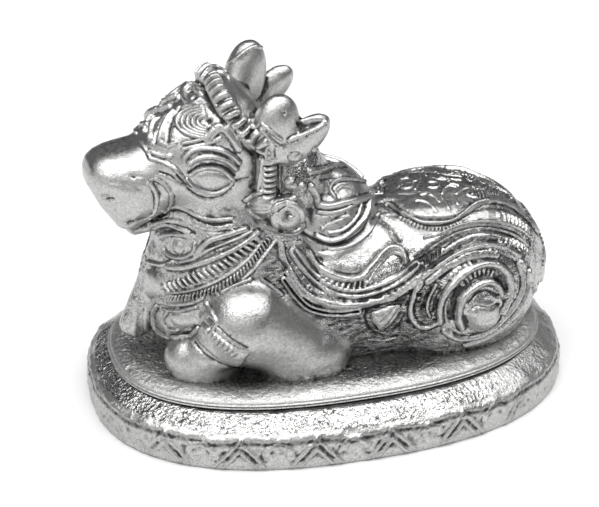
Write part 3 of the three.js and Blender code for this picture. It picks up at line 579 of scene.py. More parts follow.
def split_long_edges(points, faces, wanted):
    """Halves every edge longer than wanted(its middle), and parts the triangles on it to match."""
    pairs = np.sort(np.concatenate([faces[:, [0, 1]], faces[:, [1, 2]], faces[:, [2, 0]]]), 1)
    keys, where = np.unique(pairs[:, 0] * len(points) + pairs[:, 1], return_inverse=True)
    ends = np.stack([keys // len(points), keys % len(points)], 1)
    middles = points[ends].mean(1)
    long = np.linalg.norm(points[ends[:, 0]] - points[ends[:, 1]], axis=1) > wanted(middles)
    new = np.where(long, len(points) + np.cumsum(long) - 1, -1)[where].reshape(3, -1).T
    kept = [faces[(new < 0).all(1)]]
    for turn in range(3):
        a, b, c = np.roll(faces, -turn, 1).T
        ab, bc, ca = np.roll(new, -turn, 1).T
        one = (ab >= 0) & (bc < 0) & (ca < 0)
        two = (ab >= 0) & (bc >= 0) & (ca < 0)
        kept += [np.stack(t, 1)[one] for t in ((a, ab, c), (ab, b, c))]
        kept += [np.stack(t, 1)[two] for t in ((ab, b, bc), (a, ab, bc), (a, bc, c))]
    a, b, c = faces.T
    ab, bc, ca = new.T
    three = (new >= 0).all(1)
    kept += [np.stack(t, 1)[three] for t in ((a, ab, ca), (ab, b, bc), (ca, bc, c), (ab, bc, ca))]
    return np.concatenate([points, middles[long]]), np.concatenate(kept)


# THE CARVING. It was laid on the wax as thin rolled cords and strips, notched across with a blade, and
# cast with the rest: garlands, saddle, haunch scroll, collars, and the ornaments of the head. Each
# line goes through places of the photograph and lies on the form where the camera sees them.


def seen_at(p):
    """The places of the photograph where the camera sees points p."""
    off = p - eye
    across, down = off @ right, off @ -up
    return photo_size / 2 + focal_pixels * np.stack([across, down], 1) / (off @ -back)[:, None]


def smooth_curve(places, spacing):
    """Points close together on a smooth curve through the places."""
    places = np.array(places, float)
    ends = [2 * places[0] - places[1], *places, 2 * places[-1] - places[-2]]
    found = []
    for a, b, c, d in zip(ends, ends[1:], ends[2:], ends[3:]):
        count = max(2, int(np.linalg.norm(c - b) / spacing) + 1)
        t = np.linspace(0, 1, count, endpoint=False)[:, None]
        found.append(0.5 * (
            2 * b + (c - a) * t + (2 * a - 5 * b + 4 * c - d) * t ** 2 + (3 * b - a - 3 * c + d) * t ** 3))
    return np.concatenate(found + [places[-1:]])


def drawn(places, half, profile, fine):
    """A line of the carving: its places, its half width, its height across and along it, and the edge
    length of the mesh that it needs. All but the places are in millimetres."""
    return {"places": places, "half": half, "profile": profile, "fine": fine, "panel": False}


def cord(places, half, high, fine=0.2, moat=0.04):
    """A round cord, with the fine groove that the tool left on each side of it."""
    def profile(across, along):
        return high * ridge(across, half) - moat * ridge(np.abs(across) - half - 0.08, 0.14)
    return drawn(places, half + 0.22, profile, fine)


def band(places, half, high, fine=0.25, moat=0.04):
    """A flat band with rounded edges."""
    def profile(across, along):
        flat = np.clip(1 - (across / half) ** 6, 0, 1)
        return high * flat - moat * ridge(np.abs(across) - half - 0.08, 0.14)
    return drawn(places, half + 0.22, profile, fine)


def cords(places, half, apart, high, fine=0.16, moat=0.04):
    """Two round cords side by side, apart from crest to crest."""
    def profile(across, along):
        off = np.abs(across) - apart / 2
        return high * ridge(off, half) - moat * ridge(off - half - 0.08, 0.13)
    return drawn(places, half + apart / 2 + 0.25, profile, fine)


def groove(places, half, deep, fine=0.18):
    """A line cut in with a round tool."""
    return drawn(places, half, lambda across, along: -deep * ridge(across, half), fine)


def rungs(places, half, high, pitch, slant=0, fine=0.14, deep=0.1):
    """A strip notched across into rungs."""
    def profile(across, along):
        wave = np.cos((along + slant * across) * 2 * np.pi / pitch)
        side = np.clip(1 - (across / half) ** 4, 0, 1)
        return (high * step_between(wave, -0.6, 0.5) - deep * step_between(-wave, 0.2, 0.9)) * side
    return drawn(places, half, profile, fine)


def boss(place, radius, high, fine=0.2, moat=0.06):
    """A round boss in a fine groove."""
    return cord([place], radius, high, fine, moat)


def dish(place, radius, deep, fine=0.2):
    """A round hollow."""
    return groove([place], radius, deep, fine)


def ring(middle, radii, half, high, start=0, end=360, fine=0.16):
    """A cord round an oval of the photograph. The radii are in its pixels."""
    turn = np.radians(np.linspace(start, end, 17))
    around = np.array(middle) + np.stack([np.cos(turn) * radii[0], np.sin(turn) * radii[1]], 1)
    return cord(around.tolist(), half, high, fine)


def swell(outline, high, edge, fine=0.3):
    """A raised, or below 0 a sunk, field with rounded edges this wide."""
    outline = smooth_curve(outline + outline[:1], 4)[:-1]
    return {
        "places": [outline.mean(0)], "outline": outline, "half": 20, "high": high, "edge": edge,
        "fine": fine, "panel": True}


def nearest_on(line, p, outward):
    """How far points p are off a line, signed by the side, and how far along it."""
    if len(line) == 1:
        return np.linalg.norm(p - line[0], axis=1), np.zeros(len(p))
    a, way = line[:-1], np.diff(line, axis=0)
    size = np.maximum(np.linalg.norm(way, axis=1), 1e-6)
    t = np.clip(((p[:, None] - a) * way).sum(-1) / size ** 2, 0, 1)
    off = p[:, None] - a - t[..., None] * way
    gaps = (off ** 2).sum(-1)
    k = gaps.argmin(1)
    rows = np.arange(len(p))
    side = (np.cross(way[k], outward) * off[rows, k]).sum(1)
    along = np.cumsum(size)[k] - size[k] + t[rows, k] * size[k]
    return np.sqrt(gaps[rows, k]) * np.where(side < 0, -1, 1), along


def lay(lines, form):
    """Lays drawn lines on a form: each gets the points where the camera sees it there."""
    curves = [
        smooth_curve(line["places"], 3) if len(line["places"]) > 1 else np.array(line["places"], float)
        for line in lines]
    sights = sight_lines(np.concatenate(curves))
    reach = np.full(len(sights), camera_distance - 60.0)
    for _ in range(60):
        reach += 0.8 * np.clip(form(eye + reach[:, None] * sights), -1, 4)
    points = eye + reach[:, None] * sights
    met = np.abs(form(points)) < 0.1
    start = 0
    for line, curve in zip(lines, curves):
        part = slice(start, start + len(curve))
        line["laid"] = points[part][met[part]]
        start += len(curve)
    return [line for line in lines if len(line["laid"])]


def carving(lines, p, outward, on_head):
    """The carving's height at points p and the edge length that its mesh needs there. Lines laid on the
    near side are also on the off side, which is folded onto it; those past the bull's middle are not."""
    raised, cut, base, fine = [np.full(len(p), start) for start in (0.0, 0.0, 0.0, 9.0)]
    folded, folded_out = folded_over(p, outward, on_head)
    for line in lines:
        laid, reach = line["laid"], line["half"]
        here, out = (p, outward) if line["past_middle"] else (folded, folded_out)
        near = np.flatnonzero(((here > laid.min(0) - reach) & (here < laid.max(0) + reach)).all(1))
        if not len(near):
            continue
        if line["panel"]:
            near = near[(out[near] @ back > 0.02)]
            deep_in = inside_by(line["outline"], *seen_at(here[near]).T) * camera_distance / focal_pixels
            near, deep_in = near[deep_in > -0.3], deep_in[deep_in > -0.3]
            base[near] += line["high"] * (1 - (1 - np.clip(deep_in / line["edge"], 0, 1)) ** 2)
            fine[near] = np.minimum(fine[near], np.where(deep_in < line["edge"] + 0.3, line["fine"], 9))
            continue
        across, along = nearest_on(laid, here[near], out[near])
        close = np.abs(across) < reach
        near, across, along = near[close], across[close], along[close]
        fine[near] = np.minimum(fine[near], line["fine"])
        high = line["profile"](across, along)
        raised[near] = np.maximum(raised[near], high)
        cut[near] = np.minimum(cut[near], high)
    return base + raised + cut, fine


neck_garland = [
    swell([(316, 252), (330, 247), (342, 242), (353, 234), (363, 225), (374, 222), (385, 227),
           (392, 237), (395, 246), (386, 252), (377, 262), (366, 272), (350, 276), (334, 272),
           (324, 264)], 0.4, 1.1),
    groove([(330, 245), (342, 240), (352, 231), (362, 222), (374, 218), (386, 223), (395, 233),
            (401, 246)], 0.4, 0.2),
    cord([(308, 253), (314, 264), (322, 271), (333, 276), (346, 279), (359, 278), (368, 271),
          (378, 260), (388, 251), (396, 249), (402, 254), (405, 262)], 0.5, 0.6, 0.17),
    rungs([(318, 278), (330, 284), (343, 287), (357, 286), (368, 280)], 0.55, 0.25, 0.75, 0.6),
    cords([(292, 251), (301, 264), (311, 275), (323, 285), (337, 291), (352, 293), (368, 291),
           (384, 286), (400, 278), (417, 266)], 0.32, 0.7, 0.42),
    cord([(297, 251), (305, 262), (314, 273)], 0.3, 0.3),
    band([(288, 272), (297, 286), (309, 297), (324, 303), (342, 306), (360, 305), (378, 301),
          (394, 296), (412, 284), (428, 272)], 0.5, 0.35),
    cords([(284, 280), (296, 296), (308, 307), (323, 312), (342, 313), (358, 311)], 0.24, 0.56, 0.35),
    cord([(366, 283), (374, 272), (384, 259), (392, 253), (400, 256)], 0.22, 0.35, 0.16),
    rungs([(374, 281), (385, 272), (398, 264)], 0.8, 0.1, 0.35, 1.2, 0.13, 0.06),
    swell([(371, 322), (370, 312), (380, 307), (396, 302), (402, 305), (399, 314), (391, 325),
           (380, 331)], 0.65, 1.3, 0.2),
    groove([(396, 306), (388, 312), (379, 320)], 0.16, 0.14, 0.13),
    groove([(399, 308), (392, 316), (385, 325)], 0.16, 0.14, 0.13),
    groove([(402, 311), (398, 319), (391, 327)], 0.14, 0.12, 0.13),
    groove([(403, 301), (380, 305), (368, 310), (366, 322), (373, 331), (384, 335), (396, 328),
            (405, 314)], 0.3, 0.25),
    cord([(368, 339), (384, 340), (396, 337)], 0.25, 0.2),
]
rear_garland = [
    groove([(416, 258), (430, 247), (445, 238), (460, 231), (475, 228), (492, 228), (508, 231),
            (518, 236), (526, 243)], 0.26, 0.3),
    cord([(420, 259), (433, 250), (448, 241), (462, 235), (476, 232), (491, 232), (506, 235),
          (517, 240), (524, 246)], 0.2, 0.3, 0.15),
    cord([(425, 239), (440, 236), (452, 229), (464, 225), (478, 223), (494, 223), (508, 226),
          (520, 232), (529, 240)], 0.22, 0.3, 0.16),
    rungs([(498, 218), (507, 220), (516, 224), (524, 230)], 0.7, 0.3, 0.66),
    rungs([(424, 264), (434, 257), (446, 250)], 0.42, 0.3, 0.66, 0.5),
    band([(446, 251), (460, 243), (475, 238), (490, 238), (500, 240)], 0.35, 0.3),
    rungs([(500, 241), (508, 243), (516, 246), (523, 251)], 0.62, 0.3, 0.66),
    groove([(419, 277), (432, 266), (446, 256), (460, 248), (475, 243), (490, 242), (504, 244),
            (516, 250)], 0.3, 0.3),
    cord([(423, 279), (437, 268), (450, 259), (464, 252), (478, 248), (492, 247), (505, 250),
          (517, 257)], 0.22, 0.32, 0.15),
    band([(428, 282), (442, 271), (455, 263), (468, 257), (482, 254), (496, 255)], 0.42, 0.3),
    groove([(440, 279), (450, 270), (462, 264), (476, 261)], 0.3, 0.2),
    boss([466, 267], 0.35, 0.25, 0.16),
]
saddle = [
    groove([(372, 206), (384, 204), (392, 203), (400, 209), (410, 215), (422, 219), (436, 220),
            (450, 219), (460, 214), (470, 207)], 0.22, 0.25),
    cord([(386, 206), (396, 210), (408, 217), (420, 222), (434, 223), (448, 222), (460, 217),
          (470, 211)], 0.2, 0.2, 0.15),
    groove([(388, 208), (398, 214), (410, 220), (422, 225), (436, 226), (450, 224), (462, 219),
            (474, 212)], 0.18, 0.22),
    rungs([(402, 219), (415, 225), (430, 229), (445, 229), (458, 224)], 0.35, 0.16, 0.45),
    cord([(458, 217), (468, 210), (480, 205), (494, 204), (506, 207), (516, 213), (526, 222),
          (534, 233)], 0.42, 0.45, 0.18),
    groove([(462, 221), (472, 214), (484, 210), (496, 210), (508, 213), (518, 220), (527, 229)], 0.22,
            0.2),
    # thin sprigs and rings on its top
    *[cord(places, 0.15, 0.13, 0.15) for places in (
        [(415, 179), (419, 185), (415, 192)],
        [(440, 180), (450, 182), (460, 183)],
        [(450, 186), (458, 188)],
        [(442, 196), (444, 191), (449, 188), (455, 189)],
        [(456, 196), (461, 192), (468, 190)],
        [(421, 197), (426, 196)],
        [(429, 197), (434, 199), (439, 204)],
        [(416, 203), (424, 204), (430, 207), (435, 212)],
        [(441, 199), (445, 204), (448, 210)],
        [(454, 198), (457, 206)])],
    *[ring(middle, radii, 0.16, 0.14) for middle, radii in (
        ((406, 186), (7, 5)), ((433, 187), (6, 3.5)), ((478, 187), (7, 4.5)))],
    boss([406, 186], 0.2, 0.12, 0.16),
    groove([(400, 197), (412, 197), (420, 195)], 0.2, 0.12),
    rungs([(472, 196), (486, 192), (498, 194), (508, 200)], 1.2, 0.12, 0.55, 0.8, 0.16),
    groove([(396, 175), (430, 175), (462, 178), (480, 182), (496, 190), (510, 200)], 0.2, 0.15),
    rungs([(531, 224), (537, 236), (541, 250), (540, 262)], 0.8, 0.2, 0.6, 0.3),
    groove([(500, 184), (512, 193), (523, 203), (532, 217), (538, 232)], 0.3, 0.2),
    rungs([(494, 186), (505, 194), (516, 203), (525, 214), (532, 228)], 0.7, 0.2, 0.7, 0.3),
]
haunch_scroll = [
    cord([(440, 322), (440, 307), (446, 293), (457, 280), (471, 269), (487, 264), (501, 267),
          (509, 276), (511, 288), (508, 301), (503, 312)], 0.5, 0.55, 0.18),
    groove([(452, 318), (453, 303), (461, 289), (474, 278), (489, 273), (500, 278), (505, 290)], 0.72,
            0.42),
    rungs([(464, 284), (474, 276), (486, 272), (496, 275)], 0.45, 0.25, 0.6),
    cord([(462, 328), (458, 314), (463, 298), (474, 288), (488, 282), (499, 286), (505, 296)], 0.5, 0.5,
          0.18),
    groove([(469, 302), (477, 294), (488, 291), (498, 296)], 0.36, 0.28),
    swell([(467, 306), (477, 301), (492, 301), (500, 307), (501, 317), (497, 327), (486, 333),
           (473, 331), (467, 321), (465, 312)], 0.6, 1.7),
    groove([(468, 311), (475, 305), (486, 306), (499, 304)], 0.25, 0.16),
    cord([(519, 264), (523, 276), (522, 290), (516, 303), (508, 314), (497, 325), (484, 334),
          (470, 338), (456, 338), (444, 331)], 0.46, 0.42, 0.18),
    cord([(527, 272), (529, 285), (524, 301), (514, 316), (500, 329), (484, 339), (466, 345)], 0.5,
          0.35, 0.2),
    cord([(503, 308), (502, 318), (497, 328)], 0.22, 0.3, 0.16),
    cord([(421, 283), (415, 293), (411, 306), (412, 317), (420, 326), (431, 327), (439, 321)], 0.42,
          0.42, 0.18),
    rungs([(452, 277), (462, 268), (473, 262)], 0.4, 0.22, 0.7),
    cord([(436, 285), (430, 296), (427, 308), (430, 316)], 0.28, 0.3, 0.16),
    groove([(440, 290), (435, 300), (433, 312)], 0.26, 0.25),
    groove([(431, 287), (425, 298), (422, 310)], 0.22, 0.22),
    dish([420, 294], 0.5, 0.3),
    dish([419, 303], 0.4, 0.25),
    boss([423, 299], 0.3, 0.25, 0.16),
    groove([(405, 318), (412, 326), (424, 331), (436, 326)], 0.3, 0.2),
]
hump_leaves = [
    cord([(308, 172), (322, 170), (336, 168), (348, 168)], 0.42, 0.35, 0.2),
    cords([(315, 149), (335, 157), (350, 167), (360, 177), (366, 187)], 0.22, 0.5, 0.3),
    groove([(318, 180), (334, 179), (350, 178), (360, 180)], 0.25, 0.2),
    cord([(334, 198), (329, 190), (335, 183), (348, 181), (362, 183)], 0.26, 0.3, 0.16),
    cord([(336, 192), (341, 188), (348, 189)], 0.2, 0.22, 0.16),
    cord([(309, 186), (314, 195), (318, 204), (328, 207), (342, 204), (355, 201), (367, 198)], 0.46,
          0.5, 0.18),
    cord([(318, 212), (330, 213), (343, 210), (355, 204), (364, 199)], 0.25, 0.3, 0.16),
    cord([(366, 201), (364, 212), (358, 223), (350, 231), (340, 237), (328, 239), (317, 235)], 0.36,
          0.5, 0.17),
    cord([(359, 205), (356, 215), (349, 224), (340, 230), (329, 232)], 0.22, 0.22, 0.16),
    groove([(345, 214), (335, 218), (325, 226)], 0.3, 0.2),
    cord([(322, 229), (330, 223), (341, 219)], 0.22, 0.2, 0.16),
    groove([(302, 232), (312, 238), (324, 243), (338, 243), (350, 238), (362, 228), (369, 214)], 0.3,
            0.3),
    cord([(330, 247), (346, 244), (360, 236), (370, 225), (378, 215)], 0.3, 0.2, 0.2),
    rungs([(368, 196), (375, 192), (383, 187)], 0.6, 0.25, 0.5, 1.2, 0.15),
]
collars = [
    band([(246, 229), (228, 235), (212, 240), (203, 246), (196, 255)], 0.36, 0.35, 0.18),
    cord([(252, 231), (236, 239), (218, 246), (205, 252), (193, 259), (180, 262)], 0.24, 0.3, 0.16),
    band([(258, 232), (249, 240), (235, 249), (217, 257), (201, 263), (184, 268), (168, 267)], 0.36,
          0.45, 0.18),
    rungs([(257, 240), (246, 250), (229, 262), (214, 270), (198, 277), (182, 283), (166, 288)], 0.72,
          0.35, 0.72, -0.4, 0.13),
    cord([(262, 241), (250, 257), (236, 269), (219, 280), (200, 288), (182, 292), (166, 292)], 0.22,
          0.35, 0.15),
    rungs([(268, 240), (256, 257), (243, 271), (228, 282), (213, 290), (195, 296), (176, 299),
          (158, 300)], 0.45, 0.4, 0.5, 0.5, 0.14),
    cord([(276, 240), (264, 256), (253, 270), (243, 279)], 0.22, 0.3, 0.16),
    cord([(281, 243), (283, 256), (290, 270)], 0.22, 0.25, 0.16),
    ring((179, 246), (16, 12), 0.26, 0.32, -10, 200),
    boss([178, 247], 0.8, 0.3),
    cord([(148, 262), (160, 265), (172, 262)], 0.3, 0.25, 0.18),
    swell([(150, 226), (166, 222), (186, 223), (197, 230), (196, 237), (180, 234), (162, 236),
           (150, 234)], -0.3, 0.9),
    cord([(154, 229), (166, 226), (178, 229), (188, 233)], 0.3, 0.3, 0.18),
    cord([(160, 237), (172, 234), (186, 236)], 0.26, 0.3, 0.18),
    swell([(146, 270), (158, 271), (165, 281), (162, 293), (150, 297), (142, 288)], 0.5, 1.4),
    rungs([(144, 258), (139, 270)], 0.8, 0.2, 0.6, 0.6),
    cord([(158, 302), (175, 305), (192, 303), (203, 298)], 0.24, 0.28, 0.16),
    cord([(162, 309), (178, 311), (196, 307)], 0.22, 0.24, 0.16),
    cord([(157, 305), (153, 315), (155, 326), (163, 334), (176, 338), (190, 335), (198, 328)], 0.34,
          0.42, 0.18),
    cord([(168, 311), (163, 320), (168, 328), (178, 330)], 0.24, 0.3, 0.16),
    swell([(170, 313), (182, 312), (194, 316), (192, 326), (180, 328), (171, 322)], 0.35, 0.8),
    cord([(206, 303), (212, 312), (216, 322), (213, 330)], 0.24, 0.25, 0.16),
    cord([(137, 300), (135, 318), (134, 338)], 0.4, 0.2, 0.25, 0.02),
    cord([(147, 306), (146, 322), (149, 338)], 0.35, 0.18, 0.25, 0.02),
]
foreleg_ridges = [
    swell([(203, 322), (214, 331), (228, 342), (241, 349), (250, 351), (246, 358), (239, 366),
           (226, 362), (211, 353), (198, 338)], 0.35, 0.3, 0.2),
    rungs([(209, 330), (222, 343), (238, 355)], 0.7, 0.12, 0.6, 0, 0.15, 0.05),
    groove([(208, 318), (219, 328), (233, 340), (247, 348)], 0.22, 0.2),
    groove([(194, 341), (203, 353), (215, 361), (229, 367), (240, 368)], 0.24, 0.2),
    cord([(262, 279), (272, 286), (282, 294)], 0.25, 0.25, 0.18),
    cord([(250, 279), (236, 285), (222, 292)], 0.25, 0.25, 0.18),
]

head_lines = [
    # the plaited band from the poll down to the ear, and the crest over it
    rungs([(209, 74), (213, 84), (218, 93), (223, 101), (229, 109), (235, 117), (242, 126), (250, 134),
           (258, 141), (265, 147)], 1.2, 0.55, 1.3, 0.15),
    cord([(200, 75), (208, 68), (219, 66), (229, 71)], 0.3, 0.35, 0.17),
    cord([(203, 80), (211, 73), (222, 72), (230, 77)], 0.24, 0.28, 0.16),
    groove([(203, 82), (205, 95), (213, 110), (222, 121), (231, 131), (240, 143), (250, 152),
            (263, 157)], 0.3, 0.3),
    boss([252, 122], 0.55, 0.3),
    boss([262, 130], 0.5, 0.3),
    cord([(262, 124), (271, 132), (281, 139)], 0.24, 0.25, 0.16),
    cord([(262, 131), (270, 139), (278, 145)], 0.24, 0.25, 0.16),
    # the shell on the brow, with a boss in the fold above it
    swell([(202, 86), (208, 92), (214, 104), (214, 114), (206, 106), (203, 96)], -0.25, 0.6),
    ring((193, 97), (9, 6.5), 0.4, 0.45, 30, 330),
    dish([194, 98], 0.45, 0.35),
    cord([(180, 92), (188, 85), (198, 83)], 0.36, 0.35, 0.17),
    cord([(184, 107), (192, 105), (201, 107)], 0.36, 0.35, 0.16),
    *[ring((207, 122), (9 + 5.2 * i, 6 + 2.4 * i), 0.25, 0.38, 95, 262, 0.13) for i in range(5)],
    dish([209, 121], 0.45, 0.4),
    cord([(183, 143), (195, 141), (207, 137), (214, 131)], 0.26, 0.3, 0.16),
    cord([(183, 149), (196, 146), (210, 143), (220, 138)], 0.26, 0.25, 0.16),
    # leaves over the nose
    cord([(173, 112), (166, 120), (162, 130), (160, 139)], 0.46, 0.42, 0.18),
    cord([(163, 112), (155, 120), (151, 129), (150, 138)], 0.44, 0.4, 0.18),
    cord([(153, 112), (147, 121), (144, 131)], 0.3, 0.3, 0.18),
    groove([(180, 107), (173, 117), (169, 129), (168, 141)], 0.32, 0.3),
    groove([(169, 113), (162, 122), (157, 132), (155, 142)], 0.26, 0.3),
    groove([(158, 111), (151, 120), (147, 131)], 0.26, 0.3),
    cord([(176, 96), (165, 101), (154, 109)], 0.36, 0.32, 0.18),
    cord([(178, 88), (168, 93)], 0.3, 0.25, 0.18),
    # the brow: a smooth arch, then folds down to the lid
    band([(208, 139), (216, 129), (224, 128), (232, 136), (239, 148)], 0.55, 0.35, 0.2),
    groove([(230, 129), (239, 142), (251, 153), (262, 159)], 0.25, 0.25),
    cord([(236, 128), (246, 141), (257, 150), (266, 155)], 0.26, 0.25, 0.18),
    cord([(184, 158), (192, 151), (205, 148), (220, 150), (232, 156), (239, 163)], 0.34, 0.4, 0.17),
    cord([(189, 164), (200, 158), (214, 157), (228, 162), (236, 169)], 0.34, 0.35, 0.17),
    groove([(190, 173), (199, 167), (212, 165), (225, 168), (235, 176)], 0.26, 0.32),
    groove([(177, 176), (182, 182), (190, 188)], 0.32, 0.28),
    # the eye, long and full, in its lids
    swell([(192, 176), (200, 170), (213, 169), (225, 173), (233, 180), (225, 187), (212, 191),
           (200, 187)], 0.4, 0.9, 0.2),
    cord([(191, 175), (198, 170), (212, 168), (225, 172), (234, 180)], 0.2, 0.2, 0.15),
    cord([(187, 179), (193, 186), (203, 191), (215, 193), (226, 189), (234, 181)], 0.24, 0.3, 0.15),
    groove([(183, 182), (190, 191), (199, 197), (211, 199), (223, 196), (231, 189)], 0.24, 0.28),
    groove([(234, 181), (247, 178)], 0.22, 0.2),
    # folds of the nose, nostril and mouth
    groove([(100, 181), (115, 183), (130, 185), (142, 190)], 0.3, 0.08, 0.25),
    cord([(137, 178), (147, 181), (154, 189), (157, 200), (155, 211), (150, 218)], 0.26, 0.25, 0.17),
    cord([(156, 179), (165, 185), (171, 194), (171, 204), (165, 212)], 0.26, 0.25, 0.17),
    groove([(133, 177), (142, 179), (150, 182)], 0.26, 0.25),
    groove([(160, 172), (170, 176), (180, 183), (188, 186)], 0.24, 0.22),
    cord([(141, 142), (147, 151), (150, 157)], 0.26, 0.25, 0.18),
    cord([(150, 158), (163, 162), (174, 168), (182, 177)], 0.26, 0.28, 0.17),
    cord([(160, 142), (168, 145), (175, 143)], 0.3, 0.25, 0.18),
    cord([(150, 151), (160, 155), (170, 156)], 0.3, 0.25, 0.18),
    boss([105, 197], 0.4, 0.25, 0.16),
    groove([(108, 199), (113, 199)], 0.25, 0.25),
    groove([(127, 224), (137, 221), (147, 218), (153, 216)], 0.26, 0.35),
    # the jaw
    cord([(163, 211), (176, 207), (188, 211), (199, 217), (214, 220), (232, 219)], 0.22, 0.18, 0.17),
    groove([(160, 216), (174, 211), (186, 214), (198, 221), (214, 225), (232, 223)], 0.24, 0.3),
    groove([(152, 221), (166, 218), (181, 220), (194, 227), (210, 232), (228, 231)], 0.2, 0.14),
    # the cheek strap, its tassel and the small ring that it hangs from
    ring((269, 155), (3.6, 8), 0.22, 0.25),
    rungs([(271, 163), (271, 180), (270, 199)], 0.98, 0.34, 0.72),
    cord([(262, 160), (260, 175), (258, 190)], 0.2, 0.2, 0.16),
    cord([(279, 165), (279, 180), (279, 196)], 0.2, 0.2, 0.16),
    swell([(245, 201), (256, 196), (270, 197), (281, 199), (278, 210), (266, 215), (253, 213)], 0.45,
           0.9, 0.22),
    cord([(246, 200), (254, 195), (261, 192)], 0.34, 0.35, 0.16),
    groove([(250, 205), (262, 205), (276, 204)], 0.14, 0.12, 0.15),
    groove([(253, 210), (264, 210), (275, 209)], 0.14, 0.12, 0.15),
    # the ear disc, dished, with a small boss
    ring((288, 218), (15, 15), 0.42, 0.28),
    dish([287, 217], 1.05, 0.5),
    boss([291, 219], 0.4, 0.3, 0.16),
    groove([(273, 213), (281, 208), (287, 203)], 0.35, 0.3),
    # horns and ears
    cord([(228, 63), (238, 57), (247, 50), (255, 46), (264, 48)], 0.3, 0.2, 0.2),
    swell([(296, 122), (306, 119), (319, 119), (325, 124), (312, 130), (300, 134)], -0.5, 0.8),
    cord([(290, 140), (303, 134), (316, 128), (326, 122)], 0.3, 0.25, 0.18),
    dish([285, 113], 0.3, 0.2, 0.16),
    boss([295, 158], 0.8, 0.35),
    boss([289, 184], 0.8, 0.4),
    boss([301, 187], 0.6, 0.35),
    boss([294, 197], 0.5, 0.3),
]


def folded_over(p, outward, on_head):
    """Points of the bull's right half, moved to where they would be on its left half. The head turns,
    so its halves are parted by its own middle."""
    place = np.where(on_head[:, None], to_head(p), p)
    out = np.where(on_head[:, None], outward @ turned, outward)
    far = place[:, 1:2] > 0
    place, out = np.where(far, place * (1, -1, 1), place), np.where(far, out * (1, -1, 1), out)
    return (np.where(on_head[:, None], place @ turned.T + neck_pivot, place),
            np.where(on_head[:, None], out @ turned.T, out))


carved_lines = lay(
    neck_garland + rear_garland + saddle + haunch_scroll + hump_leaves + collars + foreleg_ridges
    + head_lines, bull_form)
for line in carved_lines:
    on_head = head_form(line["laid"]).mean() < body_form(line["laid"]).mean()
    line["past_middle"] = (to_head(line["laid"]) if on_head else line["laid"])[:, 1].mean() > 0.5

cloth_thickness = 0.4
cloth_edge = np.array([  # [x, height above the slab] along its hem
    [-8, 15], [-6.1, 11.6], [-4.6, 9.9], [-2.6, 8.8], [0.5, 8.4], [3.4, 8.6], [6.5, 9.7], [10.2, 11.9],
    [13, 13.2], [16, 13.7], [19, 13], [21, 11.6], [22.6, 9], [24.5, 5], [27.4, 4]])


def above_hem(p):
    """How far points are above the cloth's hem, as seen from the side."""
    return p[:, 2] - slab_top - np.interp(p[:, 0], *cloth_edge.T)


def cloth(p):
    """The height of the cloth over the back, above the skin under it."""
    return cloth_thickness * step_between(above_hem(p), -0.25, 0.25) * step_between(p[:, 0], -8.2, -7.8)


def relief(p, outward):
    """The carving's height over the whole bull, the edge length that it needs, and where the head is."""
    on_head = step_between(body_form(p) - head_form(p), -0.3, 0.3)
    high, fine = carving(carved_lines, p, outward, on_head > 0.5)
    height = p[:, 2] - slab_top
    flanks = (p[:, 0] > -11) & (p[:, 0] < 14) & (height > 0.5) & (height < 14)  # worked all over
    return high + cloth(p) * (1 - on_head), np.where(flanks, np.minimum(fine, 0.24), fine), on_head


points, faces = skinned(bull_form, (-31, -15, slab_top - 0.9), (30.5, 15, 44.5), 0.42)
points = settled(bull_form, points, 2)
for _ in range(3):
    points, faces = split_long_edges(
        points, faces, lambda p: np.clip(relief(p, p * 0 + back)[1] * 1.3, 0.1, 0.7))
points = settled(bull_form, points, 2)
# the crown and the nape were smoothed round between the horns
place = to_head(points)
horns_ears_straps = both_sides(ears + strap_and_disc) + face[2:]
off_horns = np.minimum.reduce([form(place) for form, _ in horns_ears_straps])
crown = step_between(place[:, 0], 0, 3) * step_between(off_horns, 0.5, 1.6) * step_between(
    body_form(points) - head_form(points), 0.5, 1.5)
points = points + crown[:, None] * (spread(points, faces, 60) - points)
slope, _ = slope_of(bull_form, points)
outward = slope / np.maximum(np.linalg.norm(slope, axis=1), 1e-6)[:, None]
high, _, on_head = relief(points, outward)
points = points + outward * high[:, None]
outward = facing(points, faces)

# THE FINISH. The body was hammered over with a small round punch, but for its smooth saddle, hump, legs
# and head, and the ground under the garland was scored along the body. Then the casting was blackened
# and buffed, which left the black in its hollows. The same black is also painted as shade in the broad
# hollows and on the foreleg's sides, and as dark reflections on the up-facing tops and the nose's top.
height = points[:, 2] - slab_top
cords_there = np.clip((high - cloth(points) * (1 - on_head)) / 0.2, 0, 1)
on_foreleg = step_between(fused(both_sides(foreleg), points - (0, 0, slab_top)), 1.0, 0.3)
plain = np.maximum(on_foreleg, on_head)
under_garland = step_between(-above_hem(points), 0.2, 0.8) * (1 - on_foreleg)
under_garland *= step_between(points[:, 0], -11.5, -9.5) * step_between(-points[:, 0], -13, -9)
off_saddle = np.minimum(saddle_pad(points - (0, 0, slab_top)), hump(points - (0, 0, slab_top)))
smooth_top = step_between(-off_saddle, -1.4, -0.8) * (1 - plain)
on_flank = step_between(points[:, 0], -6, -4) * step_between(-points[:, 0], -16, -13) * (1 - under_garland)

# the punch's dents, deepest on the open flank, and the scored lines
hammered = (1 - plain) * (1 - 0.85 * smooth_top) * step_between(height, 0.4, 1.5)
hammered *= (1 + 1.6 * on_flank * step_between(-height, -15.5, -14)) * (1 - 0.5 * cords_there)
dents = 0.08 * lumps(points, 2.4, 10) + 0.055 * lumps(points, 1.3, 11) + 0.035 * lumps(points, 0.6, 12)
points += outward * (hammered * dents)[:, None]
scored = under_garland * (1 - cords_there)
streaks = lumps(points * [0.5, 1, 1], 0.6, 13) + 0.6 * lumps(points * [0.5, 1, 1.2], 0.4, 14)
points += outward * (0.21 * scored * streaks)[:, None]
# the taller horn's tip was rubbed down a little
horn_tip = 42.9
points[:, 2] -= 0.15 * np.maximum(points[:, 2] - horn_tip, 0)
outward = facing(points, faces)
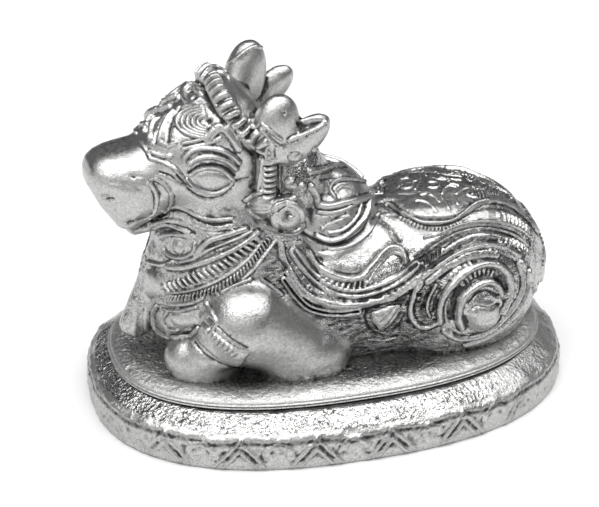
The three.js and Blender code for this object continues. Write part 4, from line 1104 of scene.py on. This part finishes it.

# soot in the fine hollows and cuts, and painted shade in the broad hollows; then painted dark reflections
# on the flat tops and the nose's top, painted shade on the foreleg's sides and underside,
# and soot between the scored streaks
soot = np.clip(
    0.8 * hollows(points, faces, 3, 0.075) + 0.1 * hollows(points, faces, 40, 0.5)
    + 0.35 * np.clip(-high / 0.3, 0, 1), 0, 1)
soot *= 1 - 0.2 * step_between(-points[:, 0], 6, 9)  # the head and chest were buffed harder
facing_up = outward[:, 2]
on_nose = on_head * step_between(-to_head(points)[:, 0], 7, 9) * step_between(-facing_up, -0.45, -0.2)
soot = np.maximum.reduce([
    soot,
    # painted dark reflections on the up-facing tops, and more on the saddle and hump
    0.42 * step_between(facing_up, 0.82, 0.97) * (1 - cords_there),
    0.4 * smooth_top * step_between(facing_up, 0.6, 0.85) * (1 - cords_there),
    # a painted dark reflection on the upward-facing top of the nose
    0.2 * on_nose,
    # painted shade on the foreleg where it faces sideways and down, away from the overhead light
    0.25 * on_foreleg * step_between(-facing_up, -0.7, -0.45),
    scored * np.clip(0.24 - 0.34 * streaks, 0, 0.7)])
on_chest = step_between(-points[:, 0], 7, 10) * (1 - plain)
patted = 0.6 * (1 - plain) - 0.45 * smooth_top - 0.2 * on_chest + 0.15 * plain + 0.1 * on_foreleg
marks = {"soot": soot, "patted": patted * (1 - 0.45 * cords_there), "streaked": scored}

# one skin, kept as three meshes
buffed_silver = cast_silver(
    "buffed_cast_silver", clean_roughness=0.3, sooty_roughness=0.48, facet_mm=0.5, facet_depth_mm=0.1)
neck_end = 3
face_middle = points[faces].mean(1)
head_faces = on_head[faces].mean(1) > 0.5
for name, chosen in (
        ("bull_head", head_faces),
        ("bull_forequarters", ~head_faces & (face_middle[:, 0] < neck_end)),
        ("bull_hindquarters", ~head_faces & (face_middle[:, 0] >= neck_end))):
    used, numbered = np.unique(faces[chosen], return_inverse=True)
    piece = cast_piece(
        name, points[used], numbered.reshape(-1, 3), outward[used],
        **{mark: values[used] for mark, values in marks.items()})
    piece.data.materials.append(buffed_silver)
    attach(piece, "root")
    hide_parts("nandi_bull")

# THE STUDIO. A pale table top under one wide soft light, with a dim card at the left and another behind
# the camera. The grey room beyond gives the silver its contrast.
floor_size = 2400
corners = np.array([[-1, -1, 0], [1, -1, 0], [1, 1, 0], [-1, 1, 0]]) * floor_size / 2 - (0, 0, 0.02)
floor = cast_piece("floor", corners, np.array([[0, 1, 2], [0, 2, 3]]))
board = bpy.data.materials.new("matt_white_board")  # even and dull, so that only the silver shines
board.use_nodes = True
board.node_tree.nodes["Principled BSDF"].inputs["Base Color"].default_value = linear("#EBEBEB")
board.node_tree.nodes["Principled BSDF"].inputs["Roughness"].default_value = 0.9
floor.data.materials.append(board)


def soft_light(name, place, size, power):
    """An evenly lit rectangle, in millimetres and watts, that faces the bull."""
    light = bpy.data.lights.new(name, "AREA")
    light.shape = "RECTANGLE"
    light.size, light.size_y = size[0] / 1000, size[1] / 1000
    light.energy = power
    lamp = bpy.data.objects.new(name, light)
    bpy.context.scene.collection.objects.link(lamp)
    lamp.location = Vector(place) / 1000
    lamp.rotation_mode = "QUATERNION"
    lamp.rotation_quaternion = Vector(np.array([0, 0, 15]) - place).to_track_quat("-Z", "Y")


soft_light("overhead_softbox", np.array([0, -90, 700]), (1350, 720), 10.6)
soft_light("card_at_left", np.array([-900, -350, 380]), (800, 600), 1.3)
soft_light("card_behind_camera", back * 1100 + (0, 0, 60), (1100, 600), 2.1)
room = bpy.data.worlds.new("room")
room.use_nodes = True
room.node_tree.nodes["Background"].inputs["Color"].default_value = linear("#646464")
room.node_tree.nodes["Background"].inputs["Strength"].default_value = 1
bpy.context.scene.world = room
bpy.context.scene.view_settings.view_transform = "Standard"
